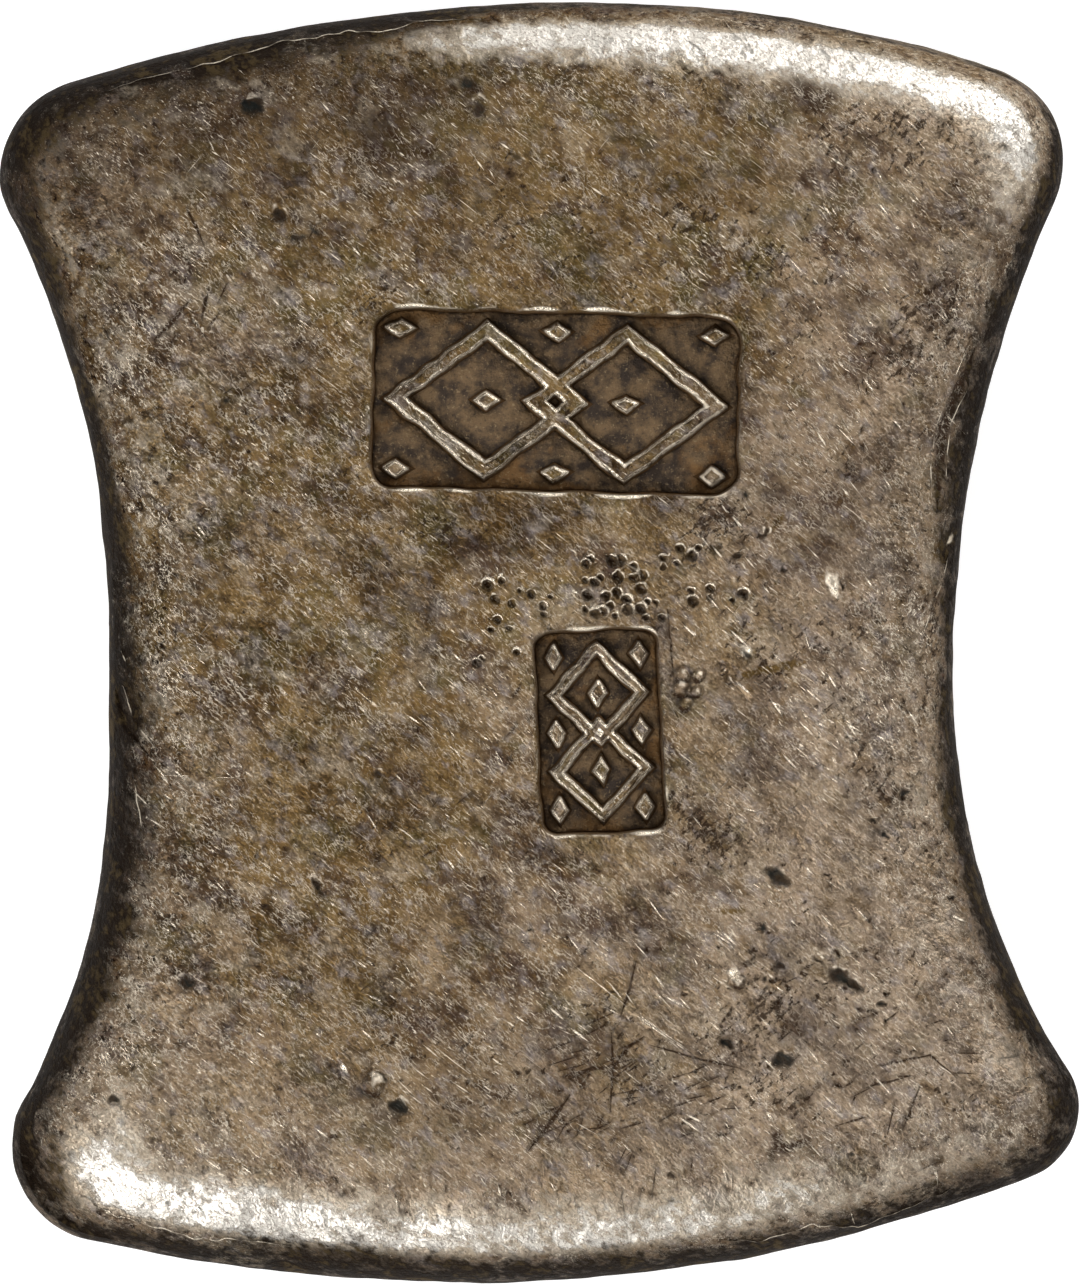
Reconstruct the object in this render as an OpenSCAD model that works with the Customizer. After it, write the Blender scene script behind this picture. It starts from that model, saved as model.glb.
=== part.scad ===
// Waisted silver sycee ingot, cast in an open mould and struck with two marks.
// Millimetres. The ingot lies on its underside: +Z up, +Y towards the upper end,
// origin in the middle of the resting face.

/* [Overall] */
// Length over the two crowned ends
ingot_length = 65; // [55:0.5:80]
// Thickness from the resting face to the struck face
ingot_thickness = 13.2; // [11:0.1:18]

/* [Crowned ends] */
// Sideways place of the upper crown's peak
upper_crown_shift = 2.2; // [-4:0.1:4]
// Radius of the upper crown, left of its peak
upper_left_crown_r = 85; // [60:0.5:110]
// Radius of the upper crown, right of its peak
upper_right_crown_r = 66.5; // [60:0.5:110]
// Sideways place of the lower crown's peak
lower_crown_shift = -3.4; // [-6:0.1:6]
// Radius of the lower crown, left of its peak
lower_left_crown_r = 89; // [60:0.5:110]
// Radius of the lower crown, right of its peak
lower_right_crown_r = 77; // [60:0.5:110]

/* [Horns] */
// Reach of the upper left horn from the middle line
upper_left_reach = 27.4; // [25:0.1:30]
// Radius of the upper left horn
upper_left_r = 4.6; // [3:0.1:6]
// Reach of the upper right horn from the middle line
upper_right_reach = 26.6; // [25:0.1:30]
// Radius of the upper right horn
upper_right_r = 4.9; // [3:0.1:6]
// Reach of the lower left horn from the middle line
lower_left_reach = 26.8; // [25:0.1:30]
// Radius of the lower left horn
lower_left_r = 4.9; // [3:0.1:6]
// Reach of the lower right horn from the middle line
lower_right_reach = 27.4; // [25:0.1:30]
// Radius of the lower right horn
lower_right_r = 3.6; // [3:0.1:6]

/* [Waist] */
// Half width at the waist, left of the middle line
left_waist = 21.9; // [18:0.1:23]
// Height of the left waist's middle along the length
left_waist_level = -3; // [-5:0.1:4]
// Length of the straight stretch of the left waist
left_waist_flat = 6.8; // [0.5:0.1:10]
// Half width at the waist, right of the middle line
right_waist = 21; // [18:0.1:23]
// Height of the right waist's middle along the length
right_waist_level = -1.7; // [-5:0.1:4]
// Length of the straight stretch of the right waist
right_waist_flat = 0.5; // [0.5:0.1:10]

/* [Rim and wall] */
// Height over which the face rolls down to the wall
rim_roll_h = 4.8; // [3:0.1:6]
// Width over which the face rolls down to the wall
rim_roll_w = 6; // [3:0.1:7]
// How far the wall draws in from the widest level to the underside
foot_inset = 6; // [3:0.1:7]
// Squareness of the wall's section, 2 is an ellipse
foot_power = 2.6; // [2:0.1:4]
// Loss of horn radius for each millimetre drawn in towards the face
horn_tightening = 0.4; // [0:0.05:0.5]
// Gain of horn radius for each millimetre drawn in towards the underside
horn_softening = 0.3; // [0:0.05:0.8]

/* [Wide mark] */
// Width of the wide mark
wide_mark_w = 18.6; // [12:0.1:20]
// Height of the wide mark
wide_mark_h = 9.2; // [7:0.1:11]
// Corner radius of the wide mark
wide_mark_r = 1.3; // [0.5:0.1:2.5]
// Sideways place of the wide mark's middle
wide_mark_x = 0.8; // [-3:0.1:3]
// Place of the wide mark's middle along the length
wide_mark_y = 12.1; // [9:0.1:15]
// Turn of the wide mark
wide_mark_turn = -1.5; // [-5:0.1:5]

/* [Tall mark] */
// Width of the tall mark
tall_mark_w = 6.4; // [5:0.1:9]
// Height of the tall mark
tall_mark_h = 10.4; // [8:0.1:12]
// Corner radius of the tall mark
tall_mark_r = 0.9; // [0.4:0.1:2]
// Sideways place of the tall mark's middle
tall_mark_x = 3; // [-6:0.1:6]
// Place of the tall mark's middle along the length
tall_mark_y = -4.5; // [-8:0.1:-2]
// Turn of the tall mark
tall_mark_turn = 2.5; // [-5:0.1:5]

/* [Relief in the marks] */
// Depth of the marks below the face
mark_depth = 0.9; // [0.5:0.05:1.5]
// How far the tops of the raised lines lie below the face
line_drop = 0.2; // [0.1:0.05:0.4]
// Width of the raised lines in the wide mark
wide_line_w = 0.8; // [0.5:0.05:1]
// Width of the raised lines in the tall mark
tall_line_w = 0.6; // [0.4:0.05:0.7]
// How far neighbouring lozenges overlap along the wide mark
wide_overlap = 3.4; // [1.5:0.1:5]
// How far neighbouring lozenges overlap along the tall mark
tall_overlap = 1.6; // [1.2:0.1:1.8]
// Half length of the small studs
stud_long = 0.8; // [0.5:0.05:0.9]
// Half width of the small studs
stud_across = 0.5; // [0.4:0.05:0.6]
// Bare margin between a mark's wall and its raised lines
mark_margin = 0.55; // [0.3:0.05:1]

/* [Residue in the marks] */
// Thickness of the earthy residue on the floor of the marks
residue_t = 0.15; // [0.05:0.05:0.3]
// Gap between the residue and the silver beside it
residue_gap = 0.05; // [0.02:0.01:0.1]

/* [Underside pits] */
// Number of gas pits in the underside
pit_count = 80; // [10:1:100]
// Radius of the smallest pit at the surface
pit_min_r = 0.35; // [0.2:0.05:0.6]
// Radius of the largest pit at the surface
pit_max_r = 1.2; // [0.7:0.05:1.3]
// Depth of a pit for each millimetre of its radius
pit_depth_ratio = 0.8; // [0.4:0.05:0.95]
// Unpitted margin round the resting face
pit_margin = 1.5; // [0.5:0.1:4]

/* [Hidden] */

SIDE_STEPS = 9;
HORN_STEPS = 9;
CROWN_STEPS = 8;
ROLL_STEPS = 9;
WALL_STEPS = 9;
CORNER_STEPS = 5;
LOZENGES = 2;
GOLDEN_ANGLE = 137.508;
PIT_SIZE_STEP = 97;
PIT_SWAY_STEP = 71;
PIT_SWAY = 20;
CUT_OVER = 1;

half_length = ingot_length / 2;
face_z = ingot_thickness;
widest_z = face_z - rim_roll_h;
mark_floor_z = face_z - mark_depth;
line_top_z = face_z - line_drop;
pit_field = [min(left_waist, right_waist), half_length]
    - (foot_inset + pit_margin + pit_max_r) * [1, 1];
wide_field = [wide_mark_w, wide_mark_h] - 2 * mark_margin * [1, 1];
tall_field = [tall_mark_h, tall_mark_w] - 2 * mark_margin * [1, 1];

// One quarter of the outline is [reach, horn radius, waist, waist level, crown radius, crown shift],
// measured away from the middle in both directions.
UPPER_RIGHT = [upper_right_reach, upper_right_r, right_waist,
    right_waist_level + right_waist_flat / 2, upper_right_crown_r, upper_crown_shift];
UPPER_LEFT = [upper_left_reach, upper_left_r, left_waist,
    left_waist_level + left_waist_flat / 2, upper_left_crown_r, -upper_crown_shift];
LOWER_LEFT = [lower_left_reach, lower_left_r, left_waist,
    left_waist_flat / 2 - left_waist_level, lower_left_crown_r, -lower_crown_shift];
LOWER_RIGHT = [lower_right_reach, lower_right_r, right_waist,
    right_waist_flat / 2 - right_waist_level, lower_right_crown_r, lower_crown_shift];

function arc(centre, r, from, to, steps) =
    [for (i = [0 : steps]) centre + r * [cos(from + (to - from) * i / steps),
                                         sin(from + (to - from) * i / steps)]];
function angle_of(v) = atan2(v.y, v.x);
function mirrored(points, sx, sy) = [for (p = points) [sx * p.x, sy * p.y]];
function without_first(list) = [for (i = [1 : len(list) - 1]) list[i]];
function without_last(list) = [for (i = [0 : len(list) - 2]) list[i]];
function reversed(list) = [for (i = [len(list) - 1 : -1 : 0]) list[i]];

// Where two circles cross, on the left of the way from the first centre to the second.
function crossing(a, ra, b, rb) =
    let (gap = norm(b - a),
         way = (b - a) / gap,
         along = (ra * ra - rb * rb + gap * gap) / (2 * gap))
    a + along * way + sqrt(ra * ra - along * along) * [-way.y, way.x];

// A quarter of the outline drawn in by inset: the hollow side, the horn and half the crown,
// three arcs that meet in tangents, from the waist to the crown's peak. The side and the crown
// are drawn in evenly, and the horn's radius gains horn_gain for each millimetre.
function quarter(q, inset, horn_gain) =
    let (crown = [q[5], half_length - q[4]],
         crown_r = q[4] - inset,
         tip_x = q[0] - q[1],
         tip_y = crown.y + sqrt(pow(q[4] - q[1], 2) - pow(tip_x - crown.x, 2)),
         stand_out = q[0] - q[2],
         hollow_r = pow(tip_y - q[3], 2) / (2 * stand_out) - q[1] + stand_out / 2,
         side = [q[2] + hollow_r, q[3]],
         side_r = hollow_r + inset,
         r = q[1] + horn_gain * inset,
         horn = crossing(crown, crown_r - r, side, side_r + r),
         side_end = angle_of(horn - side),
         horn_end = angle_of(horn - crown))
    concat(without_last(arc(side, side_r, 180, side_end, SIDE_STEPS)),
           without_last(arc(horn, r, side_end - 180, horn_end, HORN_STEPS)),
           arc(crown, crown_r, horn_end, 90, CROWN_STEPS));

// The whole outline drawn in by inset, anticlockwise from the right waist.
function outline(inset, horn_gain) =
    let (upper_right = quarter(UPPER_RIGHT, inset, horn_gain),
         upper_left = quarter(UPPER_LEFT, inset, horn_gain),
         lower_left = quarter(LOWER_LEFT, inset, horn_gain),
         lower_right = quarter(LOWER_RIGHT, inset, horn_gain))
    concat(upper_right,
           mirrored(without_first(reversed(upper_left)), -1, 1),
           mirrored(lower_left, -1, -1),
           mirrored(without_first(reversed(lower_right)), 1, -1));

// The wall's section from the underside to the face, as [inset, height, horn gain]: a squarish
// quarter below the widest level and an elliptical roll above it.
WALL_SECTION = concat(
    [for (i = [0 : WALL_STEPS])
        let (a = 90 * (1 - i / WALL_STEPS))
        [foot_inset * (1 - pow(cos(a), 2 / foot_power)),
         widest_z * (1 - pow(sin(a), 2 / foot_power)), horn_softening]],
    [for (i = [1 : ROLL_STEPS])
        let (a = 90 * i / ROLL_STEPS)
        [rim_roll_w * (1 - cos(a)), widest_z + rim_roll_h * sin(a), -horn_tightening]]);

module cast_form() {
    rings = [for (s = WALL_SECTION) [for (p = outline(s[0], s[2])) [p.x, p.y, s[1]]]];
    n = len(rings[0]);
    levels = len(rings);
    foot_middle = n * levels;
    face_middle = foot_middle + 1;
    top = n * (levels - 1);
    points = concat([for (ring = rings) each ring], [[0, 0, 0], [0, 0, face_z]]);
    wall = [for (k = [0 : levels - 2], i = [0 : n - 1])
        let (a = k * n + i, b = k * n + (i + 1) % n)
        each [[a, a + n, b + n], [a, b + n, b]]];
    foot = [for (i = [0 : n - 1]) [foot_middle, i, (i + 1) % n]];
    face = [for (i = [0 : n - 1]) [face_middle, top + (i + 1) % n, top + i]];
    polyhedron(points, concat(wall, foot, face), convexity = 4);
}

function rounded_plate(w, h, r) =
    concat(arc([w / 2 - r, h / 2 - r], r, 0, 90, CORNER_STEPS),
           arc([r - w / 2, h / 2 - r], r, 90, 180, CORNER_STEPS),
           arc([r - w / 2, r - h / 2], r, 180, 270, CORNER_STEPS),
           arc([w / 2 - r, r - h / 2], r, 270, 360, CORNER_STEPS));

// The half sizes of a lozenge whose four sides are moved out by t.
function grown(half, t) = half + t * norm(half) * [1 / half.y, 1 / half.x];

module lozenge(half) {
    polygon([[half.x, 0], [0, half.y], [-half.x, 0], [0, -half.y]]);
}

// Linked lozenges that fill the field, a traditional ornament, with a stud inside each, in the
// notches beside each link and in the field's corners. Every line is grow wider on both sides.
module linked_lozenges(field, overlap, line_w, grow) {
    half = [(field.x + (LOZENGES - 1) * overlap) / (2 * LOZENGES), field.y / 2];
    pitch = 2 * half.x - overlap;
    stud = grown([stud_long, stud_across], grow);
    for (i = [0 : LOZENGES - 1]) translate([(i - (LOZENGES - 1) / 2) * pitch, 0]) {
        difference() {
            lozenge(grown(half, grow));
            lozenge(grown(half, -line_w - grow));
        }
        lozenge(stud);
    }
    for (i = [-1, 0, 1], side = [-1, 1])
        translate([i * (field.x / 2 - stud_long), side * (half.y - stud_across)]) lozenge(stud);
}

module wide_device(grow) {
    linked_lozenges(wide_field, wide_overlap, wide_line_w, grow);
}

module tall_device(grow) {
    rotate(90) linked_lozenges(tall_field, tall_overlap, tall_line_w, grow);
}

module on_wide_mark() {
    translate([wide_mark_x, wide_mark_y]) rotate(wide_mark_turn) children();
}

module on_tall_mark() {
    translate([tall_mark_x, tall_mark_y]) rotate(tall_mark_turn) children();
}

// The metal that a mark's punch drives out: a shallow pocket down to the tops of the raised
// lines, and a deeper one round them.
module struck(plate) {
    translate([0, 0, line_top_z])
        linear_extrude(line_drop + CUT_OVER) polygon(plate);
    translate([0, 0, mark_floor_z])
        linear_extrude(line_top_z - mark_floor_z) difference() {
            polygon(plate);
            children();
        }
}

// Gas pits spread over the underside like seeds in a flower head, each a cap of a ball.
module gas_pits() {
    for (k = [1 : pit_count]) {
        r = pit_min_r + (pit_max_r - pit_min_r) * pow(sin(k * PIT_SIZE_STEP), 2);
        depth = r * pit_depth_ratio;
        ball_r = (r * r + depth * depth) / (2 * depth);
        turn = k * GOLDEN_ANGLE + PIT_SWAY * sin(k * PIT_SWAY_STEP);
        spread = sqrt(k / pit_count);
        translate([spread * pit_field.x * cos(turn), spread * pit_field.y * sin(turn), depth - ball_r])
            sphere(ball_r, $fn = 32);
    }
}

module silver_body() {
    color("#8f8373") difference() {
        cast_form();
        on_wide_mark() struck(rounded_plate(wide_mark_w, wide_mark_h, wide_mark_r)) wide_device(0);
        on_tall_mark() struck(rounded_plate(tall_mark_w, tall_mark_h, tall_mark_r)) tall_device(0);
        gas_pits();
    }
}

module residue(w, h, r) {
    color("#5a4326") translate([0, 0, mark_floor_z]) linear_extrude(residue_t) difference() {
        polygon(rounded_plate(w - 2 * residue_gap, h - 2 * residue_gap, r - residue_gap));
        children();
    }
}

module wide_mark_residue() {
    on_wide_mark() residue(wide_mark_w, wide_mark_h, wide_mark_r) wide_device(residue_gap);
}

module tall_mark_residue() {
    on_tall_mark() residue(tall_mark_w, tall_mark_h, tall_mark_r) tall_device(residue_gap);
}

silver_body();
wide_mark_residue();
tall_mark_residue();
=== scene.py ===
import math

import bpy
import numpy as np
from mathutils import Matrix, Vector, kdtree
from mathutils.geometry import delaunay_2d_cdt


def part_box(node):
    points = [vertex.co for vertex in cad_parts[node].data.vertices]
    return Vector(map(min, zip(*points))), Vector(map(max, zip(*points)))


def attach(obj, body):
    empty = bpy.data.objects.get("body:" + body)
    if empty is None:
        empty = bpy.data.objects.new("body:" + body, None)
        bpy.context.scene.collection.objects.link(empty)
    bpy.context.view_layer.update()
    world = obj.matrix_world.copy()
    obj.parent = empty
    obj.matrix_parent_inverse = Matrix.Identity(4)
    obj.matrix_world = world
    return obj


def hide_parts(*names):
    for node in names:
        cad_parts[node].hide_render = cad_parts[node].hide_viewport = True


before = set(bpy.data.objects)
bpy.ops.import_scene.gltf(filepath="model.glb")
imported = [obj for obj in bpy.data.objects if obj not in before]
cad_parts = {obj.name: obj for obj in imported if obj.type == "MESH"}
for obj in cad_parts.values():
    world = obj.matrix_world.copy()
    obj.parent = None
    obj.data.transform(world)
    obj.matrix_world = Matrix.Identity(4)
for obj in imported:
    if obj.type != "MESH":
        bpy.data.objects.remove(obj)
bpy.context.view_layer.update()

# Silver body: the cast form
# One pour of silver into an open mould gave the whole piece: crowned ends, four horns, a drawn-in waist,
# a rim that rolled over as the metal set, and walls with draft. Millimetres, from the middle of the foot.
MM = 0.001
body_low, body_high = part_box("silver_body")
HALF_LENGTH = (body_high.y - body_low.y) / 2 / MM
FACE_Z = body_high.z / MM
RIM_ROLL_H = 4.8
RIM_ROLL_W = 6.0
WIDEST_Z = FACE_Z - RIM_ROLL_H
FOOT_INSET = 6.0
FOOT_POWER = 2.6
HORN_TIGHTENING = 0.4
HORN_SOFTENING = 0.3
UPPER_CROWN_SHIFT = 2.2
LOWER_CROWN_SHIFT = -3.4
LEFT_WAIST, LEFT_LEVEL, LEFT_FLAT = 21.9, -3.0, 6.8
RIGHT_WAIST, RIGHT_LEVEL, RIGHT_FLAT = 21.0, -1.7, 0.5

SIDE_STEPS, HORN_STEPS, CROWN_STEPS = 76, 26, 70
LEFT_FLAT_STEPS, RIGHT_FLAT_STEPS = 20, 2
INSET_HALVINGS = 22


def arc(centre, radius, start, end, steps):
    angles = np.linspace(start, end, steps + 1)
    return centre + radius * np.stack([np.cos(angles), np.sin(angles)], axis=1)


def angle_of(vector):
    return math.atan2(vector[1], vector[0])


class Corner:
    """A quarter of the outline: a hollow side, a horn and half a crown, three arcs that meet in tangents.
    Its sizes run outwards from the middle, and turn says which way that is."""

    def __init__(self, turn, reach, horn_r, waist, waist_level, crown_r, crown_shift):
        self.turn = np.array(turn)
        self.horn_r = horn_r
        self.crown_r = crown_r
        self.crown = np.array([crown_shift, HALF_LENGTH - crown_r])
        tip_x = reach - horn_r
        tip_y = self.crown[1] + math.sqrt((crown_r - horn_r) ** 2 - (tip_x - crown_shift) ** 2)
        stand_out = reach - waist
        self.side_r = (tip_y - waist_level) ** 2 / (2 * stand_out) - horn_r + stand_out / 2
        self.side = np.array([waist + self.side_r, waist_level])

    def horn(self, inset, gain):
        """The horn's centre and radius where the outline is drawn in by inset, one value or many."""
        radius = self.horn_r + gain * np.asarray(inset, float)
        from_crown = self.crown_r - inset - radius
        from_side = self.side_r + inset + radius
        gap = np.linalg.norm(self.side - self.crown)
        way = (self.side - self.crown) / gap
        along = (from_crown ** 2 - from_side ** 2 + gap ** 2) / (2 * gap)
        across = np.sqrt(from_crown ** 2 - along ** 2)
        centre = self.crown + np.multiply.outer(along, way) + np.multiply.outer(across, [-way[1], way[0]])
        return centre, radius

    def points(self, inset, gain):
        """Points from the waist to the crown's peak."""
        horn, radius = self.horn(inset, gain)
        side_end = angle_of(horn - self.side)
        horn_end = angle_of(horn - self.crown)
        return self.turn * np.concatenate([
            arc(self.side, self.side_r + inset, math.pi, side_end, SIDE_STEPS)[:-1],
            arc(horn, radius, side_end - math.pi, horn_end, HORN_STEPS)[:-1],
            arc(self.crown, self.crown_r - inset, horn_end, math.pi / 2, CROWN_STEPS)])

    def is_inside(self, places, inset, gain):
        """Whether places, measured outwards from the middle, lie inside the outline drawn in by inset."""
        horn, radius = self.horn(inset, gain)
        from_horn = places - horn
        to_side = self.side - horn
        to_rim = horn - self.crown
        on_horn = (to_side[:, 0] * from_horn[:, 1] > to_side[:, 1] * from_horn[:, 0])
        on_horn &= (from_horn[:, 0] * to_rim[:, 1] > from_horn[:, 1] * to_rim[:, 0])
        inside_horn = np.linalg.norm(from_horn, axis=1) < radius
        inside_arcs = np.linalg.norm(places - self.crown, axis=1) < self.crown_r - inset
        inside_arcs &= np.linalg.norm(places - self.side, axis=1) > self.side_r + inset
        return np.where(on_horn, inside_horn, inside_arcs)


RIGHT_UP = RIGHT_LEVEL + RIGHT_FLAT / 2
RIGHT_DOWN = RIGHT_FLAT / 2 - RIGHT_LEVEL
LEFT_UP = LEFT_LEVEL + LEFT_FLAT / 2
LEFT_DOWN = LEFT_FLAT / 2 - LEFT_LEVEL
UPPER_RIGHT = Corner(
    (1, 1), reach=26.6, horn_r=4.9, waist=RIGHT_WAIST, waist_level=RIGHT_UP, crown_r=66.5,
    crown_shift=UPPER_CROWN_SHIFT)
UPPER_LEFT = Corner(
    (-1, 1), reach=27.4, horn_r=4.6, waist=LEFT_WAIST, waist_level=LEFT_UP, crown_r=85.0,
    crown_shift=-UPPER_CROWN_SHIFT)
LOWER_LEFT = Corner(
    (-1, -1), reach=26.8, horn_r=4.9, waist=LEFT_WAIST, waist_level=LEFT_DOWN, crown_r=89.0,
    crown_shift=-LOWER_CROWN_SHIFT)
LOWER_RIGHT = Corner(
    (1, -1), reach=27.4, horn_r=3.6, waist=RIGHT_WAIST, waist_level=RIGHT_DOWN, crown_r=77.0,
    crown_shift=LOWER_CROWN_SHIFT)


def between(start, end, steps):
    """The points that part a straight stretch into steps, without its ends."""
    return start + (end - start) * (np.arange(1, steps) / steps)[:, None]


def ring(inset, gain):
    """The outline drawn in by inset, anticlockwise from the right waist."""
    upper_right = UPPER_RIGHT.points(inset, gain)
    upper_left = UPPER_LEFT.points(inset, gain)[::-1]
    lower_left = LOWER_LEFT.points(inset, gain)
    lower_right = LOWER_RIGHT.points(inset, gain)[::-1]
    return np.concatenate([
        upper_right, upper_left[1:], between(upper_left[-1], lower_left[0], LEFT_FLAT_STEPS),
        lower_left, lower_right[1:], between(lower_right[-1], upper_right[0], RIGHT_FLAT_STEPS)])


def inset_at(points):
    """How far in from the outline points of the face lie, up to the width of the rim's roll."""
    peak = np.where(points[:, 1] > 0, UPPER_CROWN_SHIFT, LOWER_CROWN_SHIFT)
    east = points[:, 0] > peak
    inset = np.clip(np.where(east, RIGHT_WAIST, LEFT_WAIST) - np.abs(points[:, 0]), 0, RIM_ROLL_W)
    for corner in (UPPER_RIGHT, UPPER_LEFT, LOWER_LEFT, LOWER_RIGHT):
        mine = (east == (corner.turn[0] > 0)) & (points[:, 1] * corner.turn[1] > corner.side[1])
        places = points[mine] * corner.turn
        low = np.zeros(len(places))
        high = np.full(len(places), RIM_ROLL_W)
        for _ in range(INSET_HALVINGS):
            middle = (low + high) / 2
            inside = corner.is_inside(places, middle, -HORN_TIGHTENING)
            low = np.where(inside, middle, low)
            high = np.where(inside, high, middle)
        inset[mine] = low
    return inset


def roll_height(inset):
    """Height of the smooth face at an inset: an elliptical roll, then flat."""
    return WIDEST_Z + RIM_ROLL_H * np.sqrt(np.clip(1 - (1 - inset / RIM_ROLL_W) ** 2, 0, 1))


# Silver body: the two struck marks
# Punches driven into the cold face left two shallow pockets with a bulged lip. Each holds a traditional
# device of linked lozenges with small studs, raised from the floor, cut by hand and since rubbed round.
MARK_DEPTH = 0.9
LINE_DROP = 0.2
MARK_MARGIN = 0.55
STUD_LONG, STUD_ACROSS = 0.8, 0.5
LIP_HEIGHT = 0.15
LIP_REACH = 0.5
POCKET_WALL_RUN = 0.14
LINE_FOOT = 0.05
LINE_SHOULDER = 0.10
LINE_CROWN = 0.25
LINE_SHOULDER_SHARE = 0.13
LOOP_STEP = 0.2
EDGE_SWAY = (0.035, 2.4, 85)
LINE_SWAY = (0.032, 1.6, 81)
SWAY_ROUNDS = 4
CORNER_STEPS = 8
LIP_SHARE = (0.7, 0.35, 2.4, 87)
LIP_LEAST, LIP_MOST = 0.1, 1.3
RISE_SHARE = (0.9, 0.12, 3.0, 83)
RISE_LEAST = 0.55


def ripple(points, size, seed, waves=24):
    """Smooth random relief with swells about size across, mostly between -2 and 2."""
    draw = np.random.default_rng(seed)
    heading = draw.normal(size=(points.shape[1], waves))
    heading /= np.linalg.norm(heading, axis=0)
    pace = 2 * math.pi / size * draw.uniform(0.6, 1.4, waves)
    start = draw.uniform(0, 2 * math.pi, waves)
    return np.cos(points @ (heading * pace) + start).sum(axis=1) / math.sqrt(waves / 2)


def wavering(points, middle, swing, size, seed):
    """A value at each point that wavers round a middle one, in swells about size across."""
    return middle + swing * ripple(points, size, seed)


def uneven(points, reach, size, seed):
    """The points, each moved by about reach, so that what is drawn from them has ragged edges."""
    return points + reach * np.column_stack([ripple(points, size, seed), ripple(points, size, seed + 1)])


def swayed(points, reach, size, seed):
    """The places that uneven would bring to the points: a true line becomes one cut by hand."""
    found = points
    for _ in range(SWAY_ROUNDS):
        found = points + found - uneven(found, reach, size, seed)
    return found


def grown(half, grow):
    """The half sizes of a lozenge whose four sides are moved out by grow."""
    return half + grow * np.linalg.norm(half) / half[::-1]


def parted(corners, step):
    """A closed loop through the corners with points at most about a step apart."""
    points = []
    for start, end in zip(corners, np.roll(corners, -1, axis=0)):
        steps = max(1, round(np.linalg.norm(end - start) / step))
        points.append(start[None, :])
        points.append(between(start, end, steps))
    return np.concatenate(points)


def turned_axes(degrees):
    """The two axes of a frame that is turned by degrees, as the rows of a matrix."""
    turn = math.radians(degrees)
    return np.array([[math.cos(turn), math.sin(turn)], [-math.sin(turn), math.cos(turn)]])


class Mark:
    """A struck mark: a rounded pocket that holds two linked lozenges along its longer side."""

    def __init__(self, middle, turn, width, height, corner_r, line_w, overlap):
        self.middle = np.array(middle)
        self.half = np.array([width, height]) / 2
        self.corner_r = corner_r
        self.line_w = line_w
        self.upright = height > width
        self.axes = turned_axes(turn)
        field = np.sort([width, height])[::-1] - 2 * MARK_MARGIN
        self.lozenge = np.array([(field[0] + overlap) / 4, field[1] / 2])
        pitch = 2 * self.lozenge[0] - overlap
        self.lozenge_places = [np.array([side * pitch / 2, 0]) for side in (-1, 1)]
        reach = np.array([field[0] / 2 - STUD_LONG, self.lozenge[1] - STUD_ACROSS])
        self.stud = np.array([STUD_LONG, STUD_ACROSS])
        self.stud_places = self.lozenge_places + [
            reach * (along, side) for along in (-1, 0, 1) for side in (-1, 1)]

    def local(self, points):
        return (points - self.middle) @ self.axes.T

    def placed(self, points):
        return points @ self.axes + self.middle

    def plate_distance(self, points):
        """Distance outside the pocket's edge, below 0 in the pocket."""
        over = np.abs(self.local(uneven(points, *EDGE_SWAY))) - self.half + self.corner_r
        outside = np.linalg.norm(np.maximum(over, 0), axis=1)
        return outside + np.minimum(over.max(axis=1), 0) - self.corner_r

    def device_frame(self, points):
        """Points of the mark's own frame, with its longer side along x."""
        if self.upright:
            return points[:, ::-1] * (1, -1)
        return points

    def device_distance(self, points):
        """Distance outside the raised lines and studs, below 0 on them."""
        places = self.device_frame(self.local(uneven(points, *LINE_SWAY)))
        found = np.full(len(points), np.inf)
        for half, middles, line_w in (
                (self.lozenge, self.lozenge_places, self.line_w), (self.stud, self.stud_places, None)):
            for middle in middles:
                away = np.abs(places - middle) @ half[::-1]
                distance = (away - half[0] * half[1]) / np.linalg.norm(half)
                if line_w:
                    distance = np.abs(distance + line_w / 2) - line_w / 2
                found = np.minimum(found, distance)
        return found

    def plate_loop(self, grow):
        """A loop round the pocket, moved out from its edge by grow."""
        inner = self.half - self.corner_r
        corners = []
        for k, way in enumerate(((1, 1), (-1, 1), (-1, -1), (1, -1))):
            start = k * math.pi / 2
            corners.append(arc(inner * way, self.corner_r + grow, start, start + math.pi / 2, CORNER_STEPS))
        return swayed(self.placed(parted(np.concatenate(corners), LOOP_STEP)), *EDGE_SWAY)

    def device_loops(self, grow):
        """Loops round every raised line and stud, moved away from it by grow."""
        outlines = [(grown(self.lozenge, grow), place) for place in self.lozenge_places]
        outlines += [(grown(self.lozenge, -self.line_w - grow), place) for place in self.lozenge_places]
        outlines += [(grown(self.stud, grow), place) for place in self.stud_places]
        loops = []
        for half, place in outlines:
            corners = place + half * np.array([(1, 0), (0, 1), (-1, 0), (0, -1)])
            if self.upright:
                corners = corners[:, ::-1] * (-1, 1)
            loops.append(swayed(self.placed(parted(corners, LOOP_STEP)), *LINE_SWAY))
        return loops

    def lip_share(self, points):
        """How much of the lip was thrown up, which changes along the edge."""
        return np.clip(wavering(points, *LIP_SHARE), LIP_LEAST, LIP_MOST)

    def relief(self, points):
        """Height of the mark against the face round it."""
        edge = self.plate_distance(points)
        line = self.device_distance(points)
        lip = LIP_HEIGHT * np.clip(1 - edge / LIP_REACH, 0, 1) ** 2
        lip *= np.clip(1 + edge / POCKET_WALL_RUN, 0, 1)
        lip *= self.lip_share(points)
        floor = -MARK_DEPTH * np.clip(-edge / POCKET_WALL_RUN, 0, 1)
        rise = (MARK_DEPTH - LINE_DROP) * np.clip(wavering(points, *RISE_SHARE), RISE_LEAST, 1)
        raised = rise * np.interp(
            -line, [-LINE_FOOT, LINE_SHOULDER, LINE_CROWN], [0, 1 - LINE_SHOULDER_SHARE, 1])
        return lip + floor + np.where(edge < 0, raised, 0)


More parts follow.
